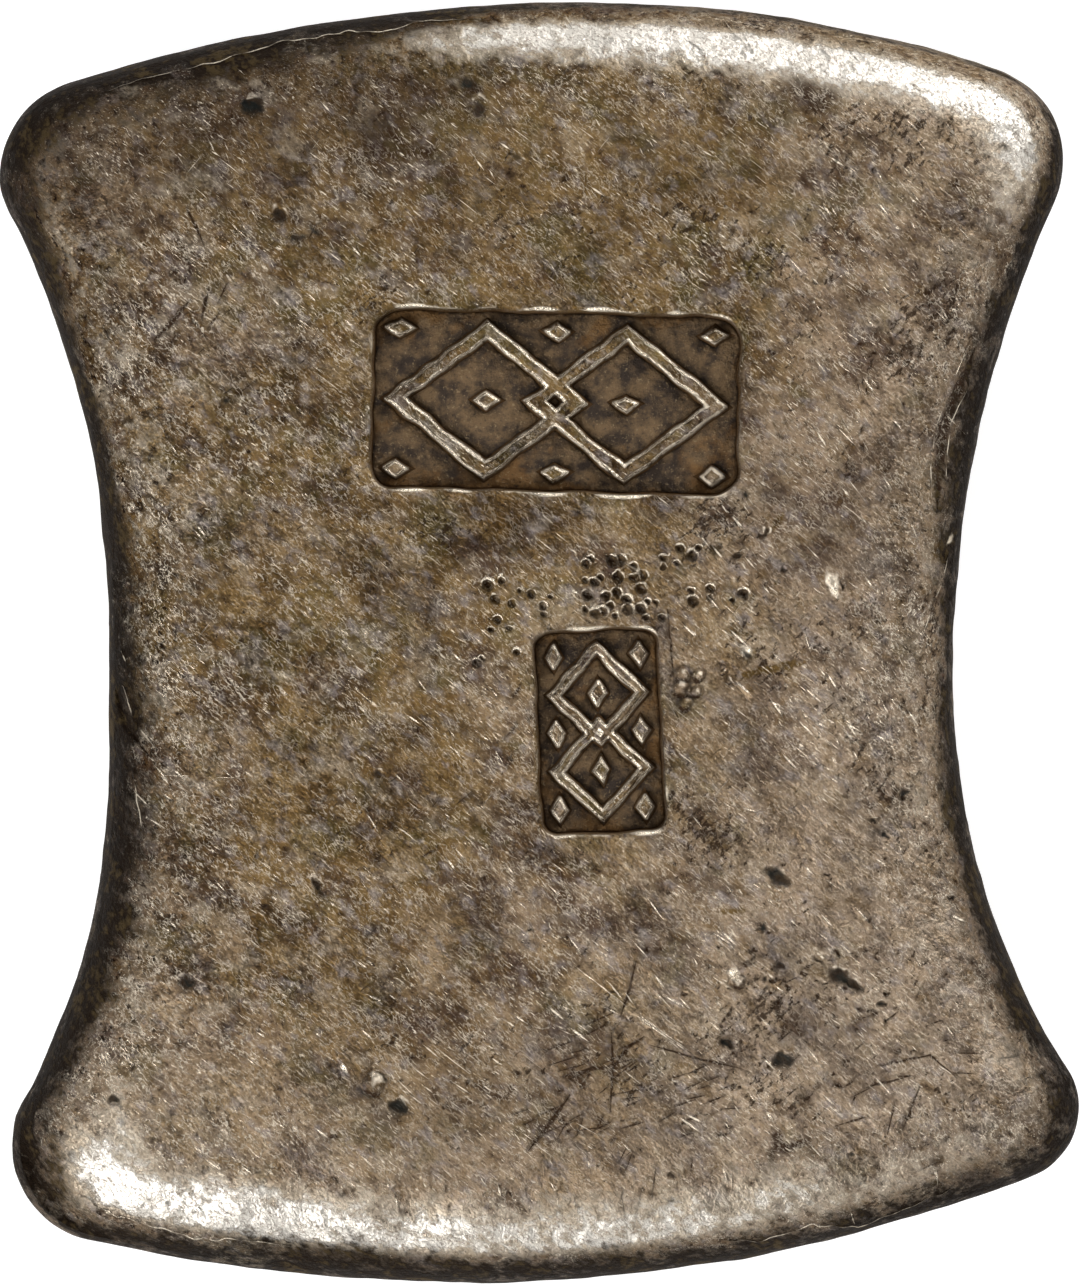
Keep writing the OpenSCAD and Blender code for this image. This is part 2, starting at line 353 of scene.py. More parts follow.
WIDE_MARK = Mark((0.8, 12.1), turn=-1.5, width=18.6, height=9.2, corner_r=1.3, line_w=0.8, overlap=3.4)
TALL_MARK = Mark((3.0, -4.5), turn=2.5, width=6.4, height=10.4, corner_r=0.9, line_w=0.6, overlap=1.6)
MARKS = (WIDE_MARK, TALL_MARK)


def beside_marks(points):
    """Distance of points outside the nearer mark's edge, below 0 in a mark."""
    return np.min([mark.plate_distance(points) for mark in MARKS], axis=0)


# Silver body: blemishes of the face
# Gas left pits and small bubbles in the face as it set. Knocks, cuts and scratches came later, and sulphur
# and earth have stained the hollows. Places are pixels of the photograph, sizes are millimetres.
PHOTO_MIDDLE = np.array([540, 642])
PHOTO_LENGTH = 1279
PHOTO_SCALE = 2 * HALF_LENGTH / PHOTO_LENGTH
PIT_RIM = 0.2
BUBBLE_RIM = 0.4
BULGE_AT, BULGE_WIDTH = 1.2, 0.22
GROOVE_SHARE, GROOVE_AT, GROOVE_WIDTH = 0.4, 1.12, 0.14
PIT_RAGGED = (0.05, 0.6, 51)
CHIP_RAGGED = (0.05, 0.45, 55)
BUBBLE_RAGGED = (0.025, 0.6, 57)
STAIN_RAGGED = (0.22, 1.3, 61)
EARTH_RAGGED = (0.05, 0.5, 63)
SCRATCH_STEP = 0.25
PATH_REACH = 0.6
CUT_WANDER, SEAM_WANDER = 0.012, 0.05
WANDER_SIZE, WANDER_SEED = 1.3, 71
TAPER_LEAST = 0.2
EDGE_INSET = 0.35
EDGE_FADE = 0.2
RIM_ROUGH_W = 1.5
# Swells of the cooled face: their height on the flat, what the rim adds to it, their size and their seed.
SWELLS = ((0.05, 0, 7, 1), (0.016, 0.012, 2.2, 2), (0.009, 0.018, 0.9, 3))
SWELL_FADE = (-0.3, 1.5)


def on_face(*pixels):
    """Places on the face, in millimetres, for pixels of the photograph."""
    return (np.array(pixels, float) - PHOTO_MIDDLE) * (PHOTO_SCALE, -PHOTO_SCALE)


# Each pit is its pixel, its two radii, the turn of the longer one and its depth.
PITS = [
    (255, 112, 0.52, 0.48, 0, 0.30), (281, 220, 0.42, 0.38, 0, 0.22), (300, 242, 0.70, 0.25, 20, 0.12),
    (318, 236, 0.55, 0.28, -50, 0.12), (468, 90, 0.60, 0.45, 10, 0.14), (479, 117, 0.70, 0.42, 80, 0.14),
    (836, 974, 0.60, 0.42, -30, 0.26), (851, 982, 0.55, 0.24, -40, 0.22), (780, 1056, 0.52, 0.48, 0, 0.24),
    (776, 963, 0.38, 0.26, -15, 0.18), (763, 976, 0.32, 0.20, 15, 0.10), (725, 1039, 0.45, 0.24, -25, 0.18),
    (760, 925, 0.34, 0.22, 15, 0.14), (816, 957, 0.28, 0.20, -30, 0.10), (878, 1000, 0.26, 0.20, 20, 0.14),
    (881, 1017, 0.24, 0.16, 80, 0.12), (900, 792, 0.34, 0.28, 60, 0.18), (870, 818, 0.22, 0.18, 0, 0.12),
    (882, 834, 0.20, 0.18, 0, 0.12), (320, 885, 0.62, 0.24, -68, 0.18), (190, 980, 0.52, 0.46, 0, 0.16),
    (118, 1095, 0.36, 0.30, 0, 0.18), (400, 1103, 0.50, 0.46, 0, 0.26), (775, 875, 0.72, 0.40, -35, 0.24),
    (1000, 152, 0.36, 0.32, 0, 0.10), (745, 655, 0.45, 0.24, -60, 0.16), (868, 918, 0.26, 0.15, -75, 0.10),
    (948, 896, 0.20, 0.18, 0, 0.12), (378, 772, 0.28, 0.20, -40, 0.10), (761, 536, 0.42, 0.17, 45, 0.14),
    (735, 557, 0.46, 0.17, 32, 0.14), (781, 570, 0.20, 0.16, 40, 0.12), (744, 497, 0.30, 0.16, 58, 0.12),
    (840, 588, 0.18, 0.10, 60, 0.12), (230, 404, 0.40, 0.26, 40, 0.10), (848, 1150, 0.22, 0.18, 0, 0.10),
    (670, 1170, 0.24, 0.20, 0, 0.10)]
# Small ragged chips, mostly in slanting rows. Each field of them is its middle pixel, its spread in pixels
# and its count.
CHIP_FIELDS = [
    (800, 990, 62, 48, 60), (840, 1075, 70, 60, 24), (700, 940, 60, 50, 12), (850, 300, 60, 90, 24),
    (880, 640, 40, 130, 18), (560, 180, 150, 60, 16), (240, 330, 70, 120, 16), (420, 1120, 120, 50, 14),
    (330, 860, 100, 110, 16), (600, 1090, 60, 40, 10), (940, 200, 50, 60, 14)]
CHIP_LONG = (0.08, 0.27)
CHIP_SLIM = (0.35, 0.7)
CHIP_DEPTH = (0.05, 0.13)
CHIP_TURN, CHIP_TURN_SPREAD = 42, 26
CHIP_CLEARANCE = 1.5
CHIP_SEED = 17
# Each knock is its pixel, its radius and its depth.
KNOCKS = [
    (375, 1082, 0.9, 0.12), (340, 1072, 1.0, 0.08), (944, 548, 1.3, 0.25), (946, 800, 1.4, 0.16),
    (138, 580, 1.0, 0.18), (130, 720, 1.4, 0.22), (805, 100, 1.2, 0.06), (932, 455, 1.6, 0.16),
    (50, 1190, 3.4, 0.65)]
# Each swarm of bubbles is its middle pixel, its two half widths in pixels and its count.
BUBBLE_SWARMS = [
    (522, 600, 36, 20, 10), (500, 648, 24, 22, 5), (622, 590, 40, 32, 28), (678, 557, 20, 10, 5),
    (716, 598, 30, 12, 6)]
BUBBLE_R = (0.14, 0.32)
BUBBLE_DEPTH = 0.9
BUBBLE_SPACING = 1.35
BUBBLE_SEED = 11
# Blisters that gas raised without bursting: pixel and radius.
BLISTERS = [
    (681, 674, 0.40), (680, 687, 0.42), (697, 675, 0.32), (695, 691, 0.30), (684, 702, 0.36),
    (722, 672, 0.18), (727, 679, 0.20), (375, 1080, 0.55), (737, 978, 0.34)]
BLISTER_RISE = 0.7
BLISTER_RAGGED = (0.03, 0.7, 59)
# Each cut is its half width, its depth and the pixels that it passes.
CUTS = [
    (0.16, 0.10, (158, 343), (176, 325), (193, 303)), (0.09, 0.06, (191, 213), (207, 248)),
    (0.08, 0.05, (205, 322), (212, 293)), (0.16, 0.12, (570, 1090), (549, 1119), (530, 1143)),
    (0.08, 0.07, (635, 958), (629, 984), (620, 1012)), (0.09, 0.07, (611, 1028), (612, 1066), (610, 1105)),
    (0.06, 0.04, (666, 609), (672, 674)), (0.07, 0.05, (640, 1185), (630, 1240)),
    (0.07, 0.05, (621, 1190), (628, 1235)), (0.06, 0.04, (877, 1061), (926, 1050), (953, 1073)),
    (0.06, 0.04, (861, 1083), (906, 1071)), (0.05, 0.04, (891, 1097), (883, 1132)),
    (0.05, 0.04, (916, 1081), (899, 1125)), (0.14, 0.05, (563, 1072), (590, 1064), (606, 1062)),
    (0.10, 0.05, (612, 1064), (624, 1046), (642, 1032)), (0.07, 0.05, (648, 1040), (690, 1052), (740, 1064)),
    (0.34, 0.14, (972, 350), (953, 395), (940, 430), (936, 470), (934, 512)),
    (0.16, 0.20, (118, 690), (128, 725), (152, 754))]
# Fields of short dark cuts: middle pixel, spread in pixels, count, slant in degrees and length.
CUT_FIELDS = [
    (585, 1090, 45, 28, 26, 22, 1.6), (690, 1085, 40, 28, 16, 22, 1.4), (640, 1150, 40, 40, 8, 70, 1.6),
    (840, 1010, 40, 40, 8, 35, 0.9), (470, 860, 60, 50, 8, 40, 0.9), (180, 330, 50, 80, 8, 55, 1.2),
    (910, 330, 40, 70, 10, 60, 0.9), (330, 700, 100, 120, 10, 50, 0.8), (900, 1100, 50, 50, 8, 10, 1.6)]
CUT_FIELD_WIDTHS = (0.035, 0.065)
CUT_FIELD_DEPTH = 0.04
# Bright scratches, where a point has laid bare the metal and thrown up a burr.
SCRATCHES = [
    (0.06, -0.03, (565, 955), (630, 1005), (700, 1055)), (0.06, -0.03, (630, 1008), (705, 1060)),
    (0.06, -0.03, (200, 193), (251, 243)), (0.06, -0.03, (355, 790), (397, 856)),
    (0.05, -0.03, (165, 773), (258, 777)), (0.05, -0.03, (380, 561), (412, 585)),
    (0.07, -0.06, (136, 770), (140, 800), (146, 832)), (0.10, -0.10, (126, 686), (136, 720), (158, 746)),
    (0.07, -0.06, (966, 345), (948, 388), (932, 430), (928, 470), (929, 505)),
    (0.05, -0.05, (964, 392), (948, 424), (944, 460), (942, 500)),
    (0.07, -0.06, (946, 556), (941, 580), (930, 606), (918, 640))]
# Fields of short bright scratches, given as the fields of cuts are.
SCRATCH_FIELDS = [
    (730, 590, 60, 50, 26, -46, 1.2), (850, 660, 40, 70, 26, -58, 1.4), (800, 730, 60, 40, 18, -36, 1.4),
    (650, 950, 90, 60, 26, -40, 1.5), (760, 1090, 90, 50, 26, -42, 1.4), (880, 250, 60, 60, 30, -50, 1.3),
    (870, 410, 60, 50, 22, -50, 1.4), (520, 950, 90, 70, 18, -40, 1.3), (180, 800, 40, 90, 26, -40, 1.2),
    (160, 450, 40, 120, 22, -50, 0.9), (330, 250, 120, 100, 26, -45, 1.0), (620, 200, 150, 60, 26, -42, 1.1),
    (420, 700, 80, 120, 20, -45, 0.9), (300, 1100, 140, 60, 30, -40, 1.2), (900, 940, 60, 100, 22, -48, 1.0),
    (560, 1190, 200, 18, 30, -75, 0.9), (760, 60, 160, 16, 22, -60, 0.8)]
SCRATCH_FIELD_WIDTHS = (0.055, 0.095)
SCRATCH_FIELD_DEPTH = -0.045
STROKE_TURN_SPREAD = 9
STROKE_SHARE = (0.3, 1.0)
STROKE_CLEARANCE = 0.5
CUT_SEED, SCRATCH_SEED = 19, 23
# Seams where the chilled skin of the rim folded over, standing a little proud.
SEAMS = [
    (0.06, -0.08, (112, 94), (127, 88), (160, 78), (186, 72), (216, 66), (248, 55), (289, 43), (318, 40),
     (344, 33), (372, 36), (396, 33), (417, 24), (448, 21), (480, 22)),
    (0.06, -0.07, (84, 1192), (120, 1212), (160, 1222), (200, 1235), (245, 1235), (290, 1242)),
    (0.06, -0.07, (720, 1237), (765, 1236), (812, 1221), (860, 1225), (905, 1204), (945, 1188))]
# Stains without depth: pixel, two radii, turn and strength.
STAINS = [
    (405, 150, 2.6, 1.5, 10, 0.55), (805, 98, 1.7, 1.2, -30, 0.75), (228, 410, 0.9, 0.7, 30, 0.6),
    (205, 582, 1.2, 0.7, 20, 0.7), (175, 560, 1.0, 0.8, 0, 0.5), (788, 1027, 1.2, 0.5, 35, 0.7),
    (851, 1021, 1.1, 0.6, 20, 0.65), (804, 1090, 0.9, 0.6, 40, 0.55), (788, 1140, 1.1, 0.42, 12, 0.9),
    (845, 1126, 0.9, 0.30, -8, 0.8), (855, 300, 0.9, 0.5, 0, 0.5), (310, 232, 1.6, 0.9, 0, 0.6),
    (470, 100, 1.2, 1.4, 0, 0.6), (270, 290, 0.5, 1.4, 0, 0.4), (600, 1065, 2.0, 0.5, 10, 0.6),
    (730, 240, 0.7, 0.5, 0, 0.4), (600, 1100, 0.7, 1.6, 0, 0.4), (860, 800, 1.4, 1.0, 0, 0.4),
    (480, 1095, 4.5, 2.6, 10, 0.46), (775, 480, 4.0, 3.0, -40, 0.42), (690, 170, 5.0, 2.5, 0, 0.34),
    (230, 110, 9.0, 3.5, 10, 0.46), (400, 130, 5.0, 4.0, 0, 0.40), (80, 130, 3.0, 3.0, 0, 0.50)]
# Ochre earth caught in scratches and chips, given as stains are.
EARTH = [
    (775, 666, 1.2, 0.17, 12, 1.2), (745, 674, 0.5, 0.14, 12, 1.1), (775, 523, 0.42, 0.14, 52, 1.2),
    (730, 908, 0.6, 0.14, 4, 1.1), (772, 582, 0.32, 0.10, 40, 1.1), (943, 546, 0.7, 0.4, 50, 1.0),
    (748, 654, 0.4, 0.3, 60, 0.7), (655, 690, 0.25, 3.0, 2, 0.6), (540, 760, 0.25, 3.4, 2, 0.7),
    (395, 322, 1.3, 0.8, 10, 0.5), (460, 900, 2.0, 1.6, 0, 0.3), (330, 560, 3.0, 6.0, 0, 0.35)]
# Small bright places, partly metal rubbed bare and partly painted glints on small bumps, given as stains are.
SHINES = [
    (830, 586, 0.60, 0.26, -68, 0.9), (733, 972, 0.50, 0.26, -45, 0.9), (744, 652, 0.28, 0.30, 0, 0.8),
    (380, 1072, 0.42, 0.18, -35, 1.1), (345, 1062, 0.30, 0.12, -50, 1.0), (948, 540, 0.30, 0.14, 50, 0.9)]


def oval_distance(points, middle, radii, turn):
    """Distance of points from an oval's middle, as a share of the oval's radius that way."""
    return np.linalg.norm((points - middle) @ turned_axes(turn).T / radii, axis=1)


def hand_drawn(pixels, wander):
    """A path through pixels of the photograph, in short steps that wander a little."""
    steps = []
    corners = on_face(*pixels)
    for start, end in zip(corners, corners[1:]):
        count = max(2, round(np.linalg.norm(end - start) / SCRATCH_STEP))
        steps.append(start + (end - start) * np.linspace(0, 1, count, endpoint=False)[:, None])
    return uneven(np.concatenate(steps + [corners[-1:]]), wander, WANDER_SIZE, WANDER_SEED)


def taper(along):
    """A cut's share of its full width, by how far along it is: pointed at both ends."""
    return np.maximum(1 - np.abs(2 * along - 1) ** 3, TAPER_LEAST)


def path_share(points, path, half_width):
    """Distance of points from a path as a share of its half width there, infinity where it is far off."""
    found = np.full(len(points), np.inf)
    near = np.all((points > path.min(axis=0) - PATH_REACH) & (points < path.max(axis=0) + PATH_REACH), axis=1)
    places = points[near]
    least = np.full(len(places), np.inf)
    for k, (start, end) in enumerate(zip(path, path[1:])):
        way = end - start
        along = np.clip((places - start) @ way / (way @ way), 0, 1)
        away = np.linalg.norm(places - start - along[:, None] * way, axis=1)
        least = np.minimum(least, away / (half_width * taper((k + along) / (len(path) - 1))))
    found[near] = least
    return found


def bell(value, middle, width):
    """1 at the middle value, falling away evenly on both sides."""
    return np.exp(-((value - middle) / width) ** 2)


def bowl(share, depth, rim):
    """A pit's relief against its share of the radius: a rounded hollow with a bulge round it."""
    bulge = rim * depth * bell(share, BULGE_AT, BULGE_WIDTH)
    return bulge - depth * np.clip(1 - share ** 2, 0, 1)


def blistered(points):
    """Relief of the blisters: caps that lean on each other, with a groove round the foot of each group."""
    ragged = uneven(points, *BLISTER_RAGGED)
    rise = np.zeros(len(points))
    groove = np.zeros(len(points))
    for middle, radii, turn, height in BLISTER_DOMES:
        share = oval_distance(ragged, middle, radii, turn)
        rise = np.maximum(rise, height * np.sqrt(np.clip(1 - share ** 2, 0, 1)))
        groove = np.maximum(groove, GROOVE_SHARE * height * bell(share, GROOVE_AT, GROOVE_WIDTH))
    return np.where(rise > 0, rise, -groove)


def bubbles():
    """The small bubbles of every swarm, each given as a pit is, kept clear of the struck marks."""
    draw = np.random.default_rng(BUBBLE_SEED)
    found = []
    for x, y, half_x, half_y, count in BUBBLE_SWARMS:
        kept = 0
        while kept < count:
            place = on_face((x + half_x * draw.uniform(-1, 1), y + half_y * draw.uniform(-1, 1)))[0]
            radius = draw.uniform(*BUBBLE_R)
            clear = beside_marks(place[None, :])[0] > 2 * radius
            apart = all(np.linalg.norm(place - other) > BUBBLE_SPACING * max(radius, radii[0])
                        for other, radii, _, _ in found)
            if clear and apart:
                found.append((place, (radius, radius), 0, BUBBLE_DEPTH * radius))
                kept += 1
    return found


def chips():
    """The chips of every field, each given as a pit is, kept clear of the marks."""
    draw = np.random.default_rng(CHIP_SEED)
    found = []
    for x, y, spread_x, spread_y, count in CHIP_FIELDS:
        places = on_face(*(np.array([x, y]) + draw.normal(size=(count, 2)) * (spread_x, spread_y)))
        long_r = draw.uniform(*CHIP_LONG, count)
        short_r = long_r * draw.uniform(*CHIP_SLIM, count)
        turn = CHIP_TURN + CHIP_TURN_SPREAD * draw.normal(size=count)
        depth = draw.uniform(*CHIP_DEPTH, count)
        clear = beside_marks(places) > 2 * CHIP_LONG[1]
        clear &= inset_at(places) > CHIP_CLEARANCE
        for k in np.flatnonzero(clear):
            found.append((places[k], (long_r[k], short_r[k]), turn[k], depth[k]))
    return found


def strokes_in(fields, widths, depth, seed):
    """The short straight strokes of every field, each a half width, a depth and a path."""
    draw = np.random.default_rng(seed)
    found = []
    for x, y, spread_x, spread_y, count, slant, length in fields:
        for _ in range(count):
            middle = on_face(np.array([x, y]) + draw.normal(size=2) * (spread_x, spread_y))[0]
            heading = turned_axes(slant + STROKE_TURN_SPREAD * draw.normal())[0]
            reach = length * draw.uniform(*STROKE_SHARE) / 2
            steps = max(2, round(2 * reach / SCRATCH_STEP))
            path = middle + np.linspace(-reach, reach, steps + 1)[:, None] * heading
            width = draw.uniform(*widths)
            if min(beside_marks(path).min(), inset_at(path).min()) > STROKE_CLEARANCE:
                found.append((width, depth, path))
    return found


# Every hollow is a place, two radii, a turn and a depth.
LARGE_PITS = [
    (on_face((x, y))[0], (long_r, short_r), turn, depth) for x, y, long_r, short_r, turn, depth in PITS]
BUBBLES = bubbles()
CHIPS = chips()
BLISTER_DOMES = [
    (on_face((x, y))[0], (radius, radius), 0, BLISTER_RISE * radius) for x, y, radius in BLISTERS]
CUT_PATHS = [(width, depth, hand_drawn(pixels, CUT_WANDER)) for width, depth, *pixels in CUTS]
CUT_PATHS += strokes_in(CUT_FIELDS, CUT_FIELD_WIDTHS, CUT_FIELD_DEPTH, CUT_SEED)
SCRATCH_PATHS = [(width, depth, hand_drawn(pixels, CUT_WANDER)) for width, depth, *pixels in SCRATCHES]
SCRATCH_PATHS += strokes_in(SCRATCH_FIELDS, SCRATCH_FIELD_WIDTHS, SCRATCH_FIELD_DEPTH, SCRATCH_SEED)
SEAM_PATHS = [(width, depth, hand_drawn(pixels, SEAM_WANDER)) for width, depth, *pixels in SEAMS]


def smooth(value, low, high):
    """0 below low, 1 above high and an even curve between."""
    share = np.clip((value - low) / (high - low), 0, 1)
    return share * share * (3 - 2 * share)


def fading(value, low, high):
    """1 below low, 0 above high and an even curve between."""
    return smooth(-value, -high, -low)


def face_relief(points, inset):
    """Height of the face against the smooth form."""
    rim = 1 - smooth(inset, RIM_ROUGH_W, RIM_ROLL_W)
    swell = sum((flat + more * rim) * ripple(points, size, seed) for flat, more, size, seed in SWELLS)
    relief = swell * smooth(beside_marks(points), *SWELL_FADE)
    for hollows, raggedness, bulge in (
            (LARGE_PITS, PIT_RAGGED, PIT_RIM),
            (CHIPS, CHIP_RAGGED, PIT_RIM),
            (BUBBLES, BUBBLE_RAGGED, BUBBLE_RIM)):
        ragged = uneven(points, *raggedness)
        for middle, radii, turn, depth in hollows:
            relief += bowl(oval_distance(ragged, middle, radii, turn), depth, bulge)
    relief += blistered(points)
    for x, y, radius, depth in KNOCKS:
        relief -= depth * bell(oval_distance(points, on_face((x, y)), (radius, radius), 0), 0, 1)
    for half_width, depth, path in CUT_PATHS + SCRATCH_PATHS + SEAM_PATHS:
        relief -= depth * np.clip(1 - path_share(points, path, half_width), 0, 1)
    edge_fade = smooth(inset, EDGE_INSET, EDGE_INSET + EDGE_FADE)
    return edge_fade * relief + sum(mark.relief(points) for mark in MARKS)


# Silver body: the mesh
# The face is triangulated from above, finer in the marks and round the blemishes, and kept to their edges.
# Rings of points carry the wall down to the foot, and the foot is a flat sheet of triangles.
FACE_PITCH = 0.30
MARK_PITCH = 0.17
FOOT_PITCH = 0.40
GRID_JITTER = 0.18
GRID_CLEARANCE = 0.09
GRID_SEED = 5
INSIDE_ONLY = 1
MERGE_BELOW = 1e-5
# Rings of points that carry a pit or a chip, each a share of its radius and a count.
PIT_RINGS = ((0.45, 8), (0.8, 16), (1.0, 18), (1.2, 16), (1.6, 12))
CHIP_RINGS = ((0.5, 5), (1.0, 8), (1.3, 8))
ROLL_RINGS = 5
WALL_RINGS = 26
# Lumps of the wall, and of the foot below: their height, size and seed. Flow lines run down the wall besides.
WALL_LUMPS = ((0.07, 5, 21), (0.03, 1.8, 22), (0.01, 0.9, 23))
FLOW_HEIGHT, FLOW_SIZE, FLOW_SEED = 0.05, 2.0, 24
FLOW_STRETCH = np.array([5, 5, 1])
FOOT_LUMPS = ((0.03, 4, 31), (0.012, 1.2, 32))
# Rings over which the wall's lumps fade in below the roll, and out above the foot.
LUMPS_START, LUMPS_END = 6, 3


def scatter(half_x, half_y, pitch, draw):
    """Points over a rectangle in a triangular pattern, each moved a little so that no rows show."""
    rows = np.arange(-half_y, half_y, pitch * math.sqrt(3) / 2)
    columns = np.arange(-half_x, half_x, pitch)
    x, y = np.meshgrid(columns, rows)
    x = x + pitch / 2 * (np.arange(len(rows)) % 2)[:, None]
    points = np.stack([x.ravel(), y.ravel()], axis=1)
    return points + draw.uniform(-GRID_JITTER, GRID_JITTER, points.shape) * pitch


def away_from(points, others, clearance):
    """The points that lie further than clearance from all the others."""
    tree = kdtree.KDTree(len(others))
    for k, (x, y) in enumerate(others):
        tree.insert((x, y, 0), k)
    tree.balance()
    kept = [tree.find((x, y, 0))[2] > clearance for x, y in points]
    return points[np.array(kept)]


def pit_points(middle, radii, turn, rings_of):
    """Rings of points that carry a pit's bowl and bulge."""
    rings = [np.zeros((1, 2))]
    for share, count in rings_of:
        rings.append(arc(np.zeros(2), share, share, share + 2 * math.pi, count)[:-1] * radii)
    return np.concatenate(rings) @ turned_axes(turn) + middle


def path_rows(path, half_width):
    """Three rows of points along a path: its middle line and both edges."""
    way = np.gradient(path, axis=0)
    width = half_width * taper(np.linspace(0, 1, len(path))) / np.linalg.norm(way, axis=1)
    across = width[:, None] * np.column_stack([-way[:, 1], way[:, 0]])
    return [path, path + across, path - across]


def triangulate(border, loops, chains, loose):
    """A flat mesh inside the border that keeps the edges of loops and chains and uses the loose points.
    Gives its points, its triangles and the border's points in order."""
    points = list(border)
    edges = [(k, (k + 1) % len(border)) for k in range(len(border))]
    for loop in loops:
        first = len(points)
        points += list(loop)
        edges += [(first + k, first + (k + 1) % len(loop)) for k in range(len(loop))]
    for chain in chains:
        first = len(points)
        points += list(chain)
        edges += [(first + k, first + k + 1) for k in range(len(chain) - 1)]
    points += list(loose)
    corners, _, faces, sources, _, _ = delaunay_2d_cdt(
        [Vector(p) for p in points], edges, [], INSIDE_ONLY, MERGE_BELOW)
    found = {}
    for corner, origin in enumerate(sources):
        for k in origin:
            found[k] = corner
    kept_border = [found[k] for k in range(len(border))]
    return np.array([(c.x, c.y) for c in corners]), np.array(faces), kept_border


def face_mesh():
    """Points, triangles and border of the face, seen from above."""
    draw = np.random.default_rng(GRID_SEED)
    border = ring(EDGE_INSET, -HORN_TIGHTENING)
    loops = []
    for mark in MARKS:
        loops += [mark.plate_loop(grow) for grow in (LIP_REACH / 2, 0, -POCKET_WALL_RUN)]
        for grow in (LINE_FOOT, -LINE_SHOULDER, -LINE_CROWN):
            loops += mark.device_loops(grow)
    chains = []
    for half_width, _, path in CUT_PATHS + SCRATCH_PATHS + SEAM_PATHS:
        chains += path_rows(path, half_width)
    rings = []
    for hollows, shares in (
            (LARGE_PITS, PIT_RINGS), (CHIPS, CHIP_RINGS), (BUBBLES + BLISTER_DOMES, PIT_RINGS)):
        rings += [pit_points(middle, radii, turn, shares) for middle, radii, turn, _ in hollows]
    pits = np.concatenate(rings)
    plain = scatter(HALF_LENGTH, HALF_LENGTH, FACE_PITCH, draw)
    plain = plain[inset_at(plain) > EDGE_INSET + FACE_PITCH / 2]
    grids = [plain[beside_marks(plain) > LIP_REACH / 2]]
    for mark in MARKS:
        inner = mark.placed(scatter(*mark.half, MARK_PITCH, draw))
        grids.append(inner[mark.plate_distance(inner) < -POCKET_WALL_RUN])
    features = np.concatenate(loops + chains + [pits])
    loose = np.concatenate([away_from(np.concatenate(grids), features, GRID_CLEARANCE), pits])
    return triangulate(border, loops, chains, loose)


def wall_section():
    """The inset, height and horn's gain of each ring, from the face's edge down to the foot's."""
    section = []
    roll_start = math.acos(1 - EDGE_INSET / RIM_ROLL_W)
    for k in range(1, ROLL_RINGS + 1):
        angle = roll_start * (1 - k / ROLL_RINGS)
        inset = RIM_ROLL_W * (1 - math.cos(angle))
        section.append((inset, WIDEST_Z + RIM_ROLL_H * math.sin(angle), -HORN_TIGHTENING))
    for k in range(1, WALL_RINGS):
        angle = math.pi / 2 * k / WALL_RINGS
        inset = FOOT_INSET * (1 - math.cos(angle) ** (2 / FOOT_POWER))
        section.append((inset, WIDEST_Z * (1 - math.sin(angle) ** (2 / FOOT_POWER)), HORN_SOFTENING))
    return section


def wall_rings():
    """Rings of points down the wall, moved out and in by its lumps."""
    section = wall_section()
    rings = []
    for k, (inset, z, gain) in enumerate(section):
        level = ring(inset, gain)
        along = np.roll(level, -1, axis=0) - np.roll(level, 1, axis=0)
        outward = np.column_stack([along[:, 1], -along[:, 0]]) / np.linalg.norm(along, axis=1)[:, None]
        level = np.column_stack([level, np.full(len(level), z)])
        lumps = sum(height * ripple(level, size, seed) for height, size, seed in WALL_LUMPS)
        lumps += FLOW_HEIGHT * ripple(level / FLOW_STRETCH, FLOW_SIZE, FLOW_SEED)
        fade = smooth(k, -1, ROLL_RINGS + LUMPS_START) * smooth(len(section) - k, 0, LUMPS_END)
        level[:, :2] += (fade * lumps)[:, None] * outward
        rings.append(level)
    return rings


def inside_loop(point, loop):
    """Whether a point lies inside a closed loop, by counting the edges to its right."""
    x0, y0 = loop[:, 0], loop[:, 1]
    x1, y1 = np.roll(x0, -1), np.roll(y0, -1)
    spans = (y0 > point[1]) != (y1 > point[1])
    crossing = x0[spans] + (point[1] - y0[spans]) * (x1 - x0)[spans] / (y1 - y0)[spans]
    return (crossing > point[0]).sum() % 2 == 1


def foot_mesh():
    """Points, triangles and border of the foot, seen from above."""
    draw = np.random.default_rng(GRID_SEED + 1)
    border = ring(FOOT_INSET, HORN_SOFTENING)
    loose = scatter(HALF_LENGTH, HALF_LENGTH, FOOT_PITCH, draw)
    loose = loose[inset_at(loose) > RIM_ROLL_W - FOOT_PITCH]
    loose = loose[[k for k, point in enumerate(loose) if inside_loop(point, border)]]
    loose = away_from(loose, border, FOOT_PITCH / 2)
    flat, triangles, kept_border = triangulate(border, [], [], loose)
    rough = np.abs(sum(height * ripple(flat, size, seed) for height, size, seed in FOOT_LUMPS))
    rough[kept_border] = 0
    return np.column_stack([flat, rough]), triangles, kept_border


def band(upper, lower):
    """Quads between two closed rings that have as many points."""
    return np.column_stack([upper, lower, np.roll(lower, -1), np.roll(upper, -1)]).tolist()


def body_mesh():
    """Points and faces of the whole body, and how many points are the face's and the foot's."""
    face, face_triangles, face_border = face_mesh()
    inset = inset_at(face)
    inset[face_border] = EDGE_INSET
    points = [np.column_stack([face, roll_height(inset) + face_relief(face, inset)])]
    faces = face_triangles.tolist()
    last = np.array(face_border)
    count = len(face)
    for level in wall_rings():
        here = count + np.arange(len(level))
        faces += band(last, here)
        points.append(level)
        last = here
        count += len(level)
    foot, foot_triangles, foot_border = foot_mesh()
    faces += band(last, count + np.array(foot_border))
    faces += (count + foot_triangles[:, ::-1]).tolist()
    points.append(foot)
    return np.concatenate(points), faces, len(face), len(foot)


